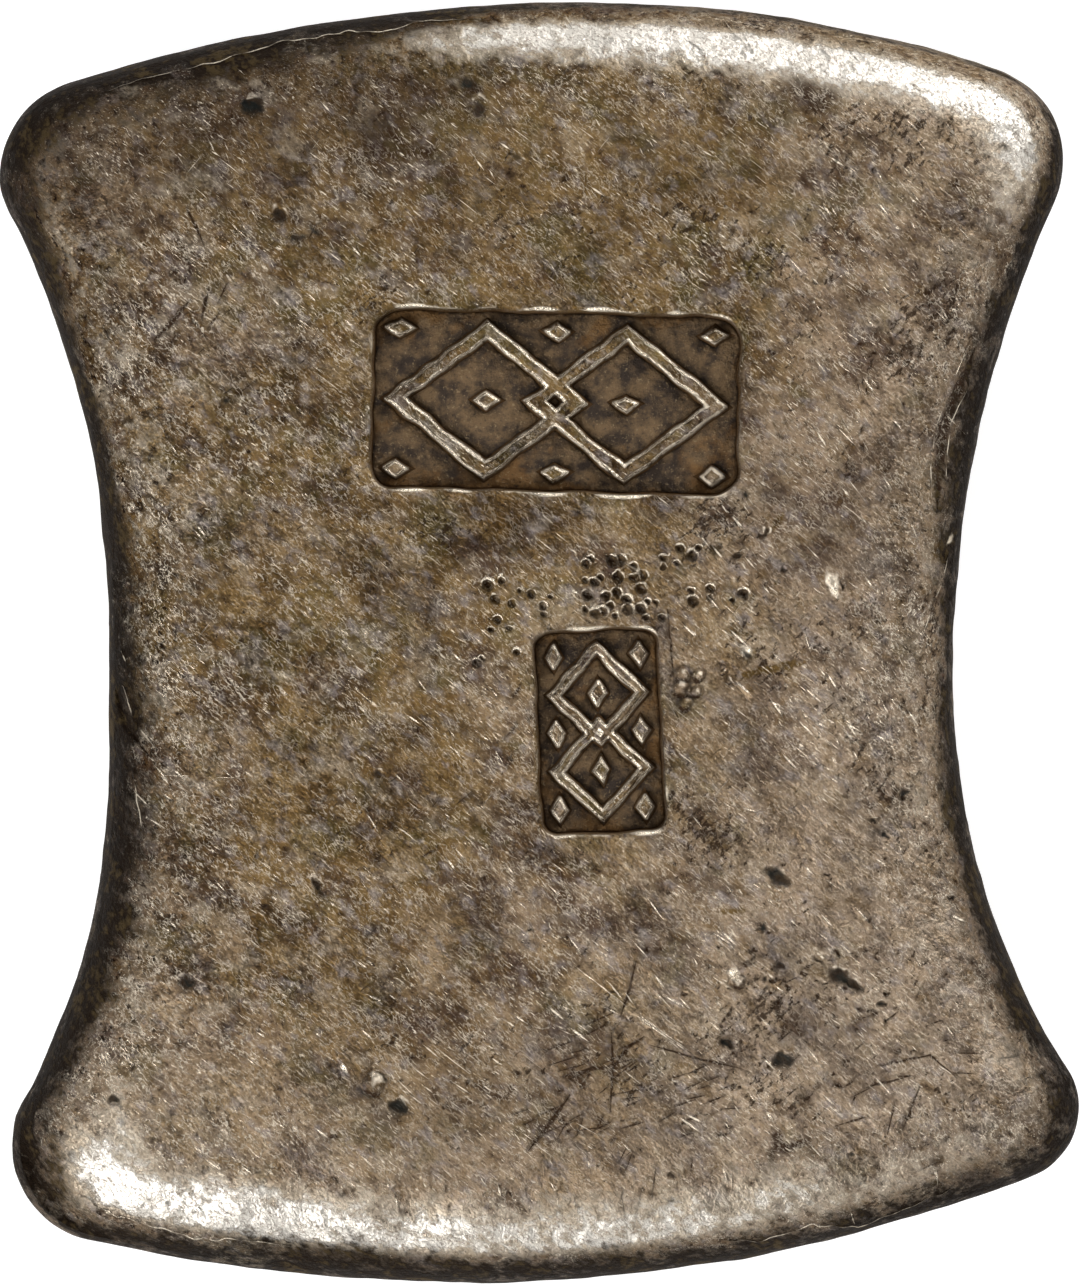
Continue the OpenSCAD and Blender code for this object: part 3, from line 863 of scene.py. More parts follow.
def plain_object(name, points, faces):
    """An object at the origin whose mesh has these points, given in millimetres."""
    mesh = bpy.data.meshes.new(name)
    mesh.from_pydata((points * MM).tolist(), [], faces)
    mesh.validate()
    mesh.polygons.foreach_set("use_smooth", [True] * len(mesh.polygons))
    piece = bpy.data.objects.new(name, mesh)
    bpy.context.scene.collection.objects.link(piece)
    return piece


body_points, body_faces, face_count, foot_count = body_mesh()
silver_ingot = plain_object("silver_ingot", body_points, body_faces)

# Silver body: stain, wear and painted light
# Masks at the points of the mesh say where hollows hold stain and earth, where the wall's dark band climbs
# over the rim, partly tarnish and partly a painted dark reflection, and where the metal is rubbed bright,
# partly wear and partly painted highlights with painted shade beside them. The finish turns them into colour.
# The way towards the light, along which hollows and blisters get their painted highlights and painted shade.
LIGHT_BEARING = 75
LIGHT_WAY = turned_axes(LIGHT_BEARING)[0]
# How each kind of hollow shows: the mask that darkens it, how strongly at no depth and how much more for each
# millimetre, and how bright a painted highlight its bulge gets on the side towards the light.
HOLLOW_LOOKS = (
    (LARGE_PITS, PIT_RAGGED, "stain", 0.75, 2.2, 0.6),
    (CHIPS, CHIP_RAGGED, "smear", 1.2, 0, 0.35),
    (BUBBLES, BUBBLE_RAGGED, "smear", 0.95, 0, 1.1))
# How a hollow's darkness fades outwards, how much lighter its lower-left inside is as painted light, and
# where the painted highlight on its bulge lies.
HOLLOW_FADE = 0.75
FAR_SIDE_LOSS = 0.35
BULGE_HIGHLIGHT_SPREAD = 0.25
BULGE_HIGHLIGHT_AT, BULGE_HIGHLIGHT_WIDTH = 1.25, 0.2
# A blister gets a painted highlight on a cap of this size, moved by this share of its radius towards the
# light, and painted shade below.
CAP_SIZE, CAP_SHIFT = 0.55, 0.4
CAP_HIGHLIGHT, CAP_EDGE = 0.6, 1.4
CAP_SHADE, CAP_SHADE_FROM = 1.3, 0.1
CAP_SHADE_SPAN = (1.05, 1.35)
# Where a cut's stain and a scratch's bare metal end, as shares of the half width.
CUT_STAIN_SPAN = (0.3, 1.6)
BRIGHT_SPAN = (0, 1.2)
SPOT_CORE, SPOT_FADE = 1.2, 0.6
# The marks: where their floor counts as sunk and takes grime with painted shade, and how bright their lips,
# the lips' ends and their lines are; the lips' brightness is partly wear and partly a painted highlight, most
# on their ends.
SUNK_FROM = 0.02
LIP_WEAR_AND_HIGHLIGHT, LIP_END_HIGHLIGHT = 0.6, 0.7
LIP_ENDS = (0.85, 1)
LIP_BRIGHT_AT, LIP_BRIGHT_WIDTH = 0.07, 0.10
LINE_BARE = 1.1
LINE_BARE_IN, LINE_BARE_WIDTH = 0.03, 0.08
SPOTS = (("smear", STAINS, STAIN_RAGGED), ("earth", EARTH, EARTH_RAGGED), ("bare", SHINES, EARTH_RAGGED))
BROKEN_SHARE = (0.7, 0.4, 1.6, 91)
SEAM_LEAST = 0.6
# Round the rim, by bearing in degrees from +X: how far in the wall's dark band climbs, partly tarnish and
# partly a painted dark reflection; how bright the roll is rubbed, partly wear and partly a painted highlight
# where the soft boxes reflect; and how far in it is brightest.
RIM_WEAR_AND_LIGHT = np.array([
    (-180, 1.4, 0.2, 2.2), (-160, 2.0, 0.1, 2.4), (-152, 1.7, 0.1, 2.4), (-146, 1.3, 0.3, 2.8),
    (-141, 0.9, 1.0, 3.0), (-126, 1.5, 1.0, 2.7), (-112, 1.4, 0.9, 2.6), (-90, 1.2, 0.85, 2.3),
    (-60, 1.0, 0.75, 2.5), (-36, 1.3, 0.4, 2.4), (0, 0.5, 0.2, 2.4), (22, 1.4, 0.05, 1.9),
    (30, 1.0, 0.3, 1.8), (36, 0.2, 1.1, 1.7), (60, 0.2, 1.1, 1.9), (82, 0.3, 1.0, 1.9),
    (98, 0.4, 0.9, 1.7), (112, 1.1, 0.3, 1.6), (132, 1.8, 0.1, 2.0), (156, 0.7, 0.4, 2.4),
    (180, 1.3, 0.2, 2.2)])
# Where the rubbed and highlighted band starts, is full, starts to fade and ends, as shares of how far in it
# is brightest.
RUB_AND_HIGHLIGHT_SPAN = (0.35, 0.8, 1.2, 2.4)
RUB_AND_HIGHLIGHT_END = 4.2
CLIMB_SPAN = (0.1, 2.4)
# How crumpled the skin is, what the rim and the left side add, and how crumpled the wall is.
CRUMPLE, CRUMPLE_RIM, CRUMPLE_LEFT, CRUMPLE_WALL = 0.4, 0.5, 0.4, 0.7
CRUMPLE_RIM_FROM = 2
CRUMPLE_LEFT_SPAN = (4, 19)
# How much of the wall is dark crust, partly tarnish and partly a painted dark reflection, what is added near
# its widest level, and from what height.
CRUST_AND_DARK_REFLECTION, CRUST_AND_DARK_REFLECTION_MORE, CRUST_AND_DARK_REFLECTION_FROM = 0.35, 0.55, 4.0
CRUST_AND_DARK_REFLECTION_LEAST_CLIMB = 0.3


def lit_side(points, middle):
    """How far points lie to the side of a place that faces the light, from -1 to 1."""
    away = points - middle
    return away @ LIGHT_WAY / np.maximum(np.linalg.norm(away, axis=1), 1e-6)


def show_hollows(face, show):
    """Stain in pits, chips and bubbles, darker inside on the upper right as painted shade. Painted highlights
    lie on the upper right of their bulges and of blisters, with painted shade below the blisters."""
    for hollows, raggedness, name, shallow, deep, bulge in HOLLOW_LOOKS:
        ragged = uneven(face, *raggedness)
        for middle, radii, turn, depth in hollows:
            share = oval_distance(ragged, middle, radii, turn)
            side = lit_side(face, middle)
            dark = np.clip(shallow + deep * depth - HOLLOW_FADE * share, 0, 1)
            show(name, dark * (1 + FAR_SIDE_LOSS * np.minimum(side, 0)))
            show("bare", bulge * np.clip(BULGE_HIGHLIGHT_SPREAD + side, 0, 1) * bell(share, BULGE_HIGHLIGHT_AT, BULGE_HIGHLIGHT_WIDTH))
    ragged = uneven(face, *BLISTER_RAGGED)
    for middle, radii, turn, _ in BLISTER_DOMES:
        share = oval_distance(ragged, middle, radii, turn)
        side = lit_side(face, middle) * np.minimum(share, 1)
        cap = middle + CAP_SHIFT * radii[0] * LIGHT_WAY
        from_cap = oval_distance(ragged, cap, np.array(radii) * CAP_SIZE, turn)
        show("bare", CAP_HIGHLIGHT * np.clip(CAP_EDGE - from_cap, 0, 1))
        show("smear", CAP_SHADE * np.clip(-CAP_SHADE_FROM - side, 0, 1) * fading(share, *CAP_SHADE_SPAN))


def show_strokes(face, show):
    """Dark cuts, and scratches and seams of bright metal that break off here and there."""
    for half_width, _, path in CUT_PATHS:
        show("smear", fading(path_share(face, path, half_width), *CUT_STAIN_SPAN))
    broken = np.clip(wavering(face, *BROKEN_SHARE), 0, 1)
    for paths, least in ((SCRATCH_PATHS, 0), (SEAM_PATHS, SEAM_LEAST)):
        for half_width, _, path in paths:
            bright = fading(path_share(face, path, half_width), *BRIGHT_SPAN)
            show("bare", np.maximum(broken, least) * bright)


def show_spots(face, show):
    """Stains, earth and small bright places that have no depth; some bright places are painted glints on
    bumps.
    """
    for name, spots, raggedness in SPOTS:
        blotted = uneven(face, *raggedness)
        for x, y, long_r, short_r, turn, strength in spots:
            share = oval_distance(blotted, on_face((x, y)), (long_r, short_r), turn)
            show(name, strength * np.clip(SPOT_CORE - SPOT_FADE * share, 0, 1))


def show_marks(face, show):
    """Grime with painted shade on the floors of the marks, bright metal with a painted highlight on their
    lips, most on the lips' ends, and bright metal along their raised lines.
    """
    for mark in MARKS:
        edge = mark.plate_distance(face)
        line = mark.device_distance(face)
        sunk = smooth(-edge, SUNK_FROM, POCKET_WALL_RUN)
        across = np.abs(mark.local(face)[:, 1]) / mark.half[1]
        lip = (LIP_WEAR_AND_HIGHLIGHT + LIP_END_HIGHLIGHT * smooth(across, *LIP_ENDS)) * mark.lip_share(face)
        show("grime", sunk * smooth(line, -SUNK_FROM, LINE_FOOT))
        show("bare", lip * bell(edge, LIP_BRIGHT_AT, LIP_BRIGHT_WIDTH))
        show("bare", LINE_BARE * sunk * bell(line, -LINE_SHOULDER - LINE_BARE_IN, LINE_BARE_WIDTH))


def face_masks(face):
    """How much of each mask the points of the face show, from 0 to 1, by name: stains and earth, wear, and
    painted highlights and shade.
    """
    masks = {name: np.zeros(len(face)) for name in ("stain", "smear", "earth", "bare", "grime")}

    def show(name, amount):
        masks[name] = np.maximum(masks[name], amount)

    for kind in (show_hollows, show_strokes, show_spots, show_marks):
        kind(face, show)
    return masks


def body_masks(points, count, foot_count):
    """The masks of the whole body, by name. The first count points are the face's, and the last foot_count
    are the foot's."""
    face = points[:count, :2]
    inset = inset_at(face)
    bearing = np.degrees(np.arctan2(points[:, 1] / HALF_LENGTH, points[:, 0] / LEFT_WAIST))
    climb, rubbed_and_highlight, peak = (np.interp(bearing, RIM_WEAR_AND_LIGHT[:, 0], column) for column in RIM_WEAR_AND_LIGHT.T[1:])
    masks = face_masks(face)
    # The wall mask is partly a painted dark reflection, and the rim mask partly a painted highlight where the
    # soft boxes reflect.
    masks["wall"] = 1 - smooth(inset / climb[:count], *CLIMB_SPAN)
    masks["crumple"] = CRUMPLE + CRUMPLE_RIM * (1 - smooth(inset, CRUMPLE_RIM_FROM, RIM_ROLL_W))
    masks["crumple"] += CRUMPLE_LEFT * smooth(-face[:, 0], *CRUMPLE_LEFT_SPAN)
    masks["rim"] = np.interp(inset / peak[:count], RUB_AND_HIGHLIGHT_SPAN, (0, 1, 1, 0))
    masks["rim"] *= (1 - smooth(inset, RUB_AND_HIGHLIGHT_END, RIM_ROLL_W)) * rubbed_and_highlight[:count]
    height = points[count:, 2]
    masks = {name: np.append(values, np.zeros(len(height))) for name, values in masks.items()}
    climbed = np.clip(CRUST_AND_DARK_REFLECTION_LEAST_CLIMB + climb[count:], 0, 1)
    masks["wall"][count:] = CRUST_AND_DARK_REFLECTION + CRUST_AND_DARK_REFLECTION_MORE * smooth(height, CRUST_AND_DARK_REFLECTION_FROM, WIDEST_Z + 1) * climbed
    masks["crumple"][count:] = CRUMPLE_WALL
    masks["foot"] = np.zeros(len(points))
    masks["foot"][-foot_count:] = 1
    return masks


def carry(piece, name, values):
    """Keeps the values of a mask at the points of a piece."""
    layer = piece.data.attributes.new(name, "FLOAT", "POINT")
    layer.data.foreach_set("value", values.astype(np.float32))


for mask_name, mask_values in body_masks(body_points, face_count, foot_count).items():
    carry(silver_ingot, mask_name, mask_values)

# Silver body: tarnished finish
# Old silver has gone brown and olive with sulphide and earth, darkest on the walls and in hollows; the walls'
# dark is partly tarnish and partly a painted dark reflection. Handling has rubbed every small bump back to
# bright metal, in short strokes across the face, and the bright high rim is partly wear and partly a painted
# highlight. Painted light makes parts of the face paler, painted shade darkens its upper left, and painted
# glints lie on fine streaks.


class Wire:
    """An output socket of a node tree. Arithmetic on it adds Math nodes."""

    def __init__(self, tree, socket):
        self.tree = tree
        self.socket = socket

    def math(self, operation, *values):
        return self.tree.add("ShaderNodeMath", {"operation": operation}, dict(enumerate(values)))

    def __add__(self, other):
        return self.math("ADD", self, other)

    def __radd__(self, other):
        return self.math("ADD", other, self)

    def __sub__(self, other):
        return self.math("SUBTRACT", self, other)

    def __rsub__(self, other):
        return self.math("SUBTRACT", other, self)

    def __mul__(self, other):
        return self.math("MULTIPLY", self, other)

    def __rmul__(self, other):
        return self.math("MULTIPLY", other, self)

    def __truediv__(self, other):
        return self.math("DIVIDE", self, other)

    def __pow__(self, other):
        return self.math("POWER", self, other)

    def at_most(self, other):
        return self.math("MINIMUM", self, other)

    def at_least(self, other):
        return self.math("MAXIMUM", self, other)

    def absolute(self):
        return self.math("ABSOLUTE", self)

    def ramp(self, low, high):
        """0 at low, 1 at high and an even curve between."""
        return self.tree.add(
            "ShaderNodeMapRange", {"interpolation_type": "SMOOTHSTEP"},
            {"Value": self, "From Min": low, "From Max": high})


class Tree:
    """Adds nodes to a material or a geometry tree."""

    def __init__(self, nodes):
        self.nodes = nodes

    def add(self, kind, settings=None, sockets=None, output=0):
        """A node of a kind. Its settings are set first, then its sockets get values or links."""
        node = self.nodes.nodes.new(kind)
        for name, value in (settings or {}).items():
            setattr(node, name, value)
        for key, value in (sockets or {}).items():
            if isinstance(value, Wire):
                self.nodes.links.new(value.socket, node.inputs[key])
            else:
                node.inputs[key].default_value = value
        return Wire(self, node.outputs[output]) if node.outputs else node

    def mix(self, share, first, second):
        """A colour between two, by share."""
        return self.add("ShaderNodeMix", {"data_type": "RGBA"}, {0: share, 6: first, 7: second}, 2)

    def mask(self, name):
        """A mask that the mesh carries at its points."""
        return self.add("ShaderNodeAttribute", {"attribute_name": name}, {}, "Fac")


def paint(code):
    """A colour written as six hex digits, as the linear values that the shader takes."""
    shares = [int(code[k:k + 2], 16) / 255 for k in (0, 2, 4)]
    return [s / 12.92 if s <= 0.04045 else ((s + 0.055) / 1.055) ** 2.4 for s in shares] + [1.0]


class Finish(Tree):
    """A material with a Principled shader, and patterns in millimetres on Object coordinates."""

    def __init__(self, name):
        self.material = bpy.data.materials.new(name)
        self.material.use_nodes = True
        super().__init__(self.material.node_tree)
        self.nodes.nodes.clear()
        metres = self.add("ShaderNodeTexCoord", output="Object")
        self.place = self.add("ShaderNodeVectorMath", {"operation": "SCALE"}, {0: metres, "Scale": 1 / MM})

    def axis(self, name):
        """One of the place's three coordinates."""
        return self.add("ShaderNodeSeparateXYZ", {}, {0: self.place}, name)

    def cloud(self, size, detail=2.0, roughness=0.5, turn=0, stretch=(1, 1, 1), shift=0):
        """Soft random patches about size across, around 0.5, turned about the vertical and then stretched."""
        place = self.add("ShaderNodeMapping", {"vector_type": "TEXTURE"}, {
            "Vector": self.place, "Location": (shift, 2 * shift, 3 * shift),
            "Rotation": (0, 0, math.radians(turn)), "Scale": stretch})
        return self.add("ShaderNodeTexNoise", {}, {
            "Vector": place, "Scale": 1 / size, "Detail": detail, "Roughness": roughness})

    def layered(self, tone, *layers):
        """The tone with layers laid over it in turn, each a share and a colour."""
        for share, colour in layers:
            tone = self.mix(share, tone, colour)
        return tone

    def strokes(self, width, length, turn, shift, share):
        """Fine strokes, 1 on a stroke, of about this width and length. A lower share shows more of them."""
        field = self.cloud(width, 2, 0.5, turn=turn, stretch=(length / width, 1, 1), shift=shift)
        return field.ramp(share, share + 0.09)

    def shade(self, colour, roughness, metallic, height, depth, **steady):
        """Ends the material: a Principled shader with a bump whose height counts depth millimetres."""
        bump = self.add("ShaderNodeBump", {}, {"Height": height, "Distance": depth * MM, "Strength": 1.0})
        sockets = {"Base Color": colour, "Roughness": roughness, "Metallic": metallic, "Normal": bump}
        sockets.update({name.replace("_", " "): value for name, value in steady.items()})
        shader = self.add("ShaderNodeBsdfPrincipled", {}, sockets)
        self.add("ShaderNodeOutputMaterial", {}, {"Surface": shader})
        return self.material


def tarnished_silver():
    finish = Finish("tarnished_silver")
    stain, smear, earth, bare, wall, grime, rim, foot, crumple = (finish.mask(name) for name in (
        "stain", "smear", "earth", "bare", "wall", "grime", "rim", "foot", "crumple"))
    x, y, z = (finish.axis(name) for name in "XYZ")

    # Patterns that the layers share, from the widest to the finest.
    broad = finish.cloud(9, 3, 0.55, shift=1.7)
    where_specks = finish.cloud(5, 3, 0.6, shift=29.1)
    lively = finish.cloud(4.5, 3, 0.6, shift=41.3).ramp(0.36, 0.64)
    patch = finish.cloud(2.3, 5, 0.62, turn=-42, stretch=(1.5, 1, 1), shift=4.1)
    blotch = finish.cloud(1.7, 4, 0.62, turn=-20, stretch=(1.4, 1, 1), shift=91.7)
    tint = finish.cloud(0.80, 4, 0.65, turn=-40, stretch=(1.5, 1, 1), shift=71.3)
    mottle = finish.cloud(0.60, 4, 0.65, turn=-35, stretch=(1.5, 1, 1), shift=7.3)
    dent = finish.cloud(0.40, 3, 0.6, turn=-48, stretch=(1.4, 1, 1), shift=61.3)
    speck = finish.cloud(0.30, 4, 0.7, turn=46, stretch=(1.7, 1, 1), shift=23.7)
    foil = finish.cloud(0.24, 2, 0.5, turn=-48, stretch=(1.9, 1, 1), shift=67.9)
    grit = finish.cloud(0.15, 3, 0.6, shift=9.1)
    brush = finish.cloud(0.10, 4, 0.7, turn=-42, stretch=(4.0, 1, 1), shift=83.9)
    folds = (foil - 0.5).absolute().ramp(0.05, 0.0)

    # Regions of the face with wavering borders: a browner one, painted shade that darkens the upper left, and
    # painted light that makes the lower right corner, the right, the bottom and the top rim paler.
    sway = (broad - 0.5) * 0.8
    brown = (y / 90 - (x + 8 - y * 0.15).absolute() / 26 + sway * 3 + 1.0).ramp(0.1, 0.9)
    shaded = (y / 24 - x / 40 + sway * 1.125).ramp(0.9, 1.7)
    cornered = (x / 22 - y / 40 + sway).ramp(0.9, 1.45) * (1 - x.ramp(19, 24) * 0.7)
    eastward = (x / 22 - y / 60 + sway).ramp(0.3, 1.0)
    southern = (sway - y / 26 - x / 90).ramp(0.75, 1.25)
    painted_top_sheen = (y / 30 + x / 80 + sway * 0.5).ramp(1.0, 1.2)
    # Painted light: the face is painted paler in these regions, most along the top rim as a painted sheen.
    painted_light = (cornered * 0.37).at_least(eastward * 0.25).at_least(southern * 0.24).at_least(painted_top_sheen * 0.45)

    # Patches of tarnish.
    olive = finish.mix(patch.ramp(0.36, 0.62), paint("3a2b18"), paint("735c37"))
    warm = finish.mix(patch.ramp(0.36, 0.62), paint("4a3a2e"), paint("8b7761"))
    ochre = (finish.cloud(1.8, 4, 0.65, shift=33.3) + brown * 0.10).ramp(0.57, 0.75)
    plum = (finish.cloud(2.8, 5, 0.65, shift=37.9) + brown * 0.04).ramp(0.56, 0.70)
    moss = (finish.cloud(3.2, 4, 0.6, shift=87.3) + brown * 0.08).ramp(0.57, 0.70)
    slate = finish.cloud(2.2, 4, 0.65, shift=79.7).ramp(0.55, 0.70)
    ashen = (finish.cloud(2.6, 4, 0.6, shift=47.1) - brown * 0.03).ramp(0.52, 0.68)
    specks = (speck + (where_specks - 0.5) * 0.7 + x / 450).ramp(0.665, 0.725)
    stain_and_shade_share = (stain + (grit - 0.5) * 0.4 + (mottle - 0.5) * 0.4).ramp(0.3, 0.75)

    # Rubbed metal and painted light: painted glints along fine streaks and along the folds of the crumpled
    # skin, fine strokes, crests of small bumps, the handled rim, partly a painted highlight where the soft
    # boxes reflect, and places polished bare, some of them painted highlights. The glints and crests fade in
    # the painted shade.
    gleam = brush.ramp(0.58, 0.71) * (0.15 + lively * 0.75) * (1 - shaded * 0.5)
    short = finish.strokes(0.10, 0.7, -36, 11.9, 0.64)
    steep = finish.strokes(0.10, 0.6, -58, 13.3, 0.66)
    hairs = finish.strokes(0.10, 3.0, -38, 15.1, 0.69)
    cross_hairs = finish.strokes(0.10, 2.2, 52, 19.3, 0.72)
    scored = (short.at_least(steep) * (0.2 + lively * 0.8)).at_least(hairs * 0.8).at_least(cross_hairs * 0.6)
    scored = scored * (1 - specks)
    creases = finish.strokes(0.08, 0.9, 40, 17.7, 0.69).at_least(finish.strokes(0.07, 0.6, -50, 73.1, 0.68))
    creases = creases * (1 - scored)
    handling_and_highlight = (rim + (mottle - 0.5) * 1.2 + (patch - 0.5) * 0.8).ramp(0.25, 1.0)
    burnish_and_highlight = handling_and_highlight.ramp(0.6, 1.0)
    wrinkles = folds * brush.ramp(0.36, 0.56) * handling_and_highlight.ramp(0.3, 0.8)
    polish_and_highlight = (bare + (mottle - 0.5) * 1.0).ramp(0.3, 0.8)
    ridges = folds * mottle.ramp(0.44, 0.58) * (1 - shaded * 0.85) * crumple * (0.4 + lively * 0.6)
    crests = dent.ramp(0.54, 0.67) * brush.ramp(0.46, 0.62) * crumple * (1 - shaded * 0.7)
    crests = (crests * (0.45 + lively * 0.5)).at_least(ridges)
    rubbed_and_highlight = (scored * 0.95).at_least(handling_and_highlight * 0.75).at_least(polish_and_highlight).at_least(crests)

    # Dark crust on the wall and where it has climbed over the rim, partly tarnish and partly a painted dark
    # reflection, and dark tarnish in the foot's pits.
    below = z.ramp(WIDEST_Z + 1, WIDEST_Z - 2)
    hollow = foot * z.ramp(0.15, 0.6)
    walled = (wall + (mottle - 0.5) * 1.4 + (patch - 0.5) * 2.0 + (dent - 0.5) * 0.8).ramp(0.2, 0.9)
    walled = walled.at_least(hollow * 0.9) * (1 - polish_and_highlight * 0.85)
    crust_and_dark_reflection = finish.layered(
        paint("1f1710"),
        (below, paint("463828")),
        ((patch + dent).ramp(1.04, 1.24) * 0.6, paint("54462e")),
        ((patch + mottle).ramp(1.12, 0.84), paint("0e0906")))

    # Among these layers are painted light on the paler regions, painted shade on the upper left, painted
    # glints on fine streaks, painted highlights on the rubbed rim, and a dark band that is partly a painted
    # dark reflection.
    tone = finish.layered(
        finish.mix(brown * 0.9, warm, olive),
        (ochre * 0.55, paint("664d2b")),
        (plum * 0.65, paint("43342f")),
        (moss * 0.5, paint("4d4524")),
        (slate * 0.5, paint("6a6360")),
        (ashen * 0.5, paint("97856c")),
        (painted_light, paint("b6a48f")),
        (tint.ramp(0.52, 0.70) * 0.55, paint("634c2a")),
        (tint.ramp(0.48, 0.30) * 0.6, paint("847c7a")),
        (shaded * 0.4, paint("3d2f26")),
        (blotch.ramp(0.54, 0.66) * crumple * 0.5, paint("988c7b")),
        (blotch.ramp(0.46, 0.34) * crumple * 0.6, paint("2b211a")),
        (mottle.ramp(0.46, 0.28) * 0.6, paint("34281f")),
        (brush.ramp(0.43, 0.29) * (0.2 + lively * 0.5), paint("261c15")),
        (grit.ramp(0.44, 0.30) * 0.4, paint("2c2119")),
        (dent.ramp(0.46, 0.31) * crumple * 0.8, paint("1f150f")),
        (gleam, paint("d8c8ad")),
        (specks * 0.85, paint("2e2117")),
        (creases * 0.9, paint("1f1711")),
        ((earth + (grit - 0.5) * 1.2).ramp(0.25, 0.75) * 0.85, paint("574320")),
        ((smear + (mottle - 0.5) * 1.4).ramp(0.3, 0.8) * 0.9, paint("301f13")),
        (rubbed_and_highlight * 0.9, paint("ede0cb")),
        (burnish_and_highlight * 0.6, paint("efece6")),
        (wrinkles * 0.7, paint("7d6858")),
        (stain_and_shade_share * 0.9, finish.mix(mottle.ramp(0.4, 0.6), paint("1a2020"), paint("35291f"))),
        (grime, paint("4c3824")),
        (walled, crust_and_dark_reflection))

    dull = smear.at_least(stain_and_shade_share).at_least(grime).at_least(specks * 0.7).at_most(1)
    roughness = 0.31 - rubbed_and_highlight * 0.07 + handling_and_highlight * 0.06 + dull * 0.25 + walled * 0.5 + (mottle - 0.5) * 0.2
    metallic = (0.92 + rubbed_and_highlight * 0.08 - dull * 0.55) * (1 - walled)
    flow = finish.cloud(0.6, 3, 0.6, stretch=(6, 6, 1), shift=51.7) * below * (1 - foot)
    height = mottle * 0.8 + grit * 0.35 + brush * (0.2 + lively * 0.4) + dent * crumple * 1.9 + ridges * 0.4
    height = height * (1 - burnish_and_highlight * 0.55) + flow * 0.6 + scored * 0.28 - creases * 0.3 - specks * 0.35
    return finish.shade(
        tone, roughness, metallic, height, depth=0.12, Specular_IOR_Level=0.2, Specular_Tint=paint("8c7e6e"))


SILVER = tarnished_silver()

# Silver body: gas pits of the underside
# Gas that rose along the cold mould left round pits in the foot, spread like seeds in a flower head.
# The node tree dents them into the foot one after another, each a cap of a ball.
PIT_COUNT = 80
PIT_MIN_R, PIT_MAX_R = 0.35, 1.2
PIT_DEPTH_RATIO = 0.8
PIT_MARGIN = 1.5
PIT_FIELD_SHRINK = FOOT_INSET + PIT_MARGIN + PIT_MAX_R
GOLDEN_ANGLE = 137.508
PIT_SIZE_STEP = 97
PIT_SWAY_STEP = 71
PIT_SWAY = 20


def gas_pit_tree():
    nodes = bpy.data.node_groups.new("gas_pits", "GeometryNodeTree")
    tree = Tree(nodes)
    nodes.interface.new_socket("Geometry", in_out="OUTPUT", socket_type="NodeSocketGeometry")
    nodes.interface.new_socket("Geometry", in_out="INPUT", socket_type="NodeSocketGeometry")
    nodes.interface.new_socket("Pit count", in_out="INPUT", socket_type="NodeSocketInt")
    for name in ("Smallest radius", "Largest radius", "Depth ratio", "Field half width", "Field half length"):
        nodes.interface.new_socket(name, in_out="INPUT", socket_type="NodeSocketFloat")
    nodes.interface.new_socket("Material", in_out="INPUT", socket_type="NodeSocketMaterial")
    given = nodes.nodes.new("NodeGroupInput")
    inputs = {socket.name: Wire(tree, socket) for socket in given.outputs if socket.name}

    start = nodes.nodes.new("GeometryNodeRepeatInput")
    end = nodes.nodes.new("GeometryNodeRepeatOutput")
    start.pair_with_output(end)
    nodes.links.new(inputs["Pit count"].socket, start.inputs["Iterations"])
    nodes.links.new(inputs["Geometry"].socket, start.inputs["Geometry"])
    pit = Wire(tree, start.outputs["Iteration"]) + 1

    def sine(degrees):
        radians = degrees * (math.pi / 180)
        return radians.math("SINE", radians)

    size = sine(pit * PIT_SIZE_STEP)
    radius = inputs["Smallest radius"] + (inputs["Largest radius"] - inputs["Smallest radius"]) * size * size
    depth = radius * inputs["Depth ratio"]
    ball = (radius * radius + depth * depth) / (2 * depth)
    turn = pit * GOLDEN_ANGLE + PIT_SWAY * sine(pit * PIT_SWAY_STEP)
    spread = (pit / inputs["Pit count"]) ** 0.5
    pit_x = spread * inputs["Field half width"] * sine(turn + 90)
    pit_y = spread * inputs["Field half length"] * sine(turn)
    here = tree.add("GeometryNodeInputPosition")
    x, y, z = (tree.add("ShaderNodeSeparateXYZ", {}, {0: here}, axis) for axis in "XYZ")
    beside = (x - pit_x) * (x - pit_x) + (y - pit_y) * (y - pit_y)
    cap = depth - ball + (ball * ball - beside).at_least(0) ** 0.5
    lift = tree.add("ShaderNodeCombineXYZ", {}, {"Z": z.at_least(cap) - z})
    dented = tree.add("GeometryNodeSetPosition", {}, {
        "Geometry": Wire(tree, start.outputs["Geometry"]), "Offset": lift})
    nodes.links.new(dented.socket, end.inputs["Geometry"])
    whole = tree.add("GeometryNodeRealizeInstances", {}, {0: Wire(tree, end.outputs["Geometry"])})
    painted = tree.add("GeometryNodeSetMaterial", {}, {"Geometry": whole, "Material": inputs["Material"]})
    tree.add("NodeGroupOutput", {}, {"Geometry": painted})
    return nodes


pits = silver_ingot.modifiers.new("gas_pits", "NODES")
pits.node_group = gas_pit_tree()
pit_sizes = {
    "Pit count": PIT_COUNT,
    "Smallest radius": PIT_MIN_R * MM,
    "Largest radius": PIT_MAX_R * MM,
    "Depth ratio": PIT_DEPTH_RATIO,
    "Field half width": (min(LEFT_WAIST, RIGHT_WAIST) - PIT_FIELD_SHRINK) * MM,
    "Field half length": (HALF_LENGTH - PIT_FIELD_SHRINK) * MM,
    "Material": SILVER}
for socket in pits.node_group.interface.items_tree:
    if socket.name in pit_sizes:
        pits[socket.identifier] = pit_sizes[socket.name]
bpy.context.view_layer.update()
depsgraph = bpy.context.evaluated_depsgraph_get()
pitted = bpy.data.meshes.new_from_object(
    silver_ingot.evaluated_get(depsgraph), preserve_all_data_layers=True, depsgraph=depsgraph)
silver_ingot.modifiers.clear()
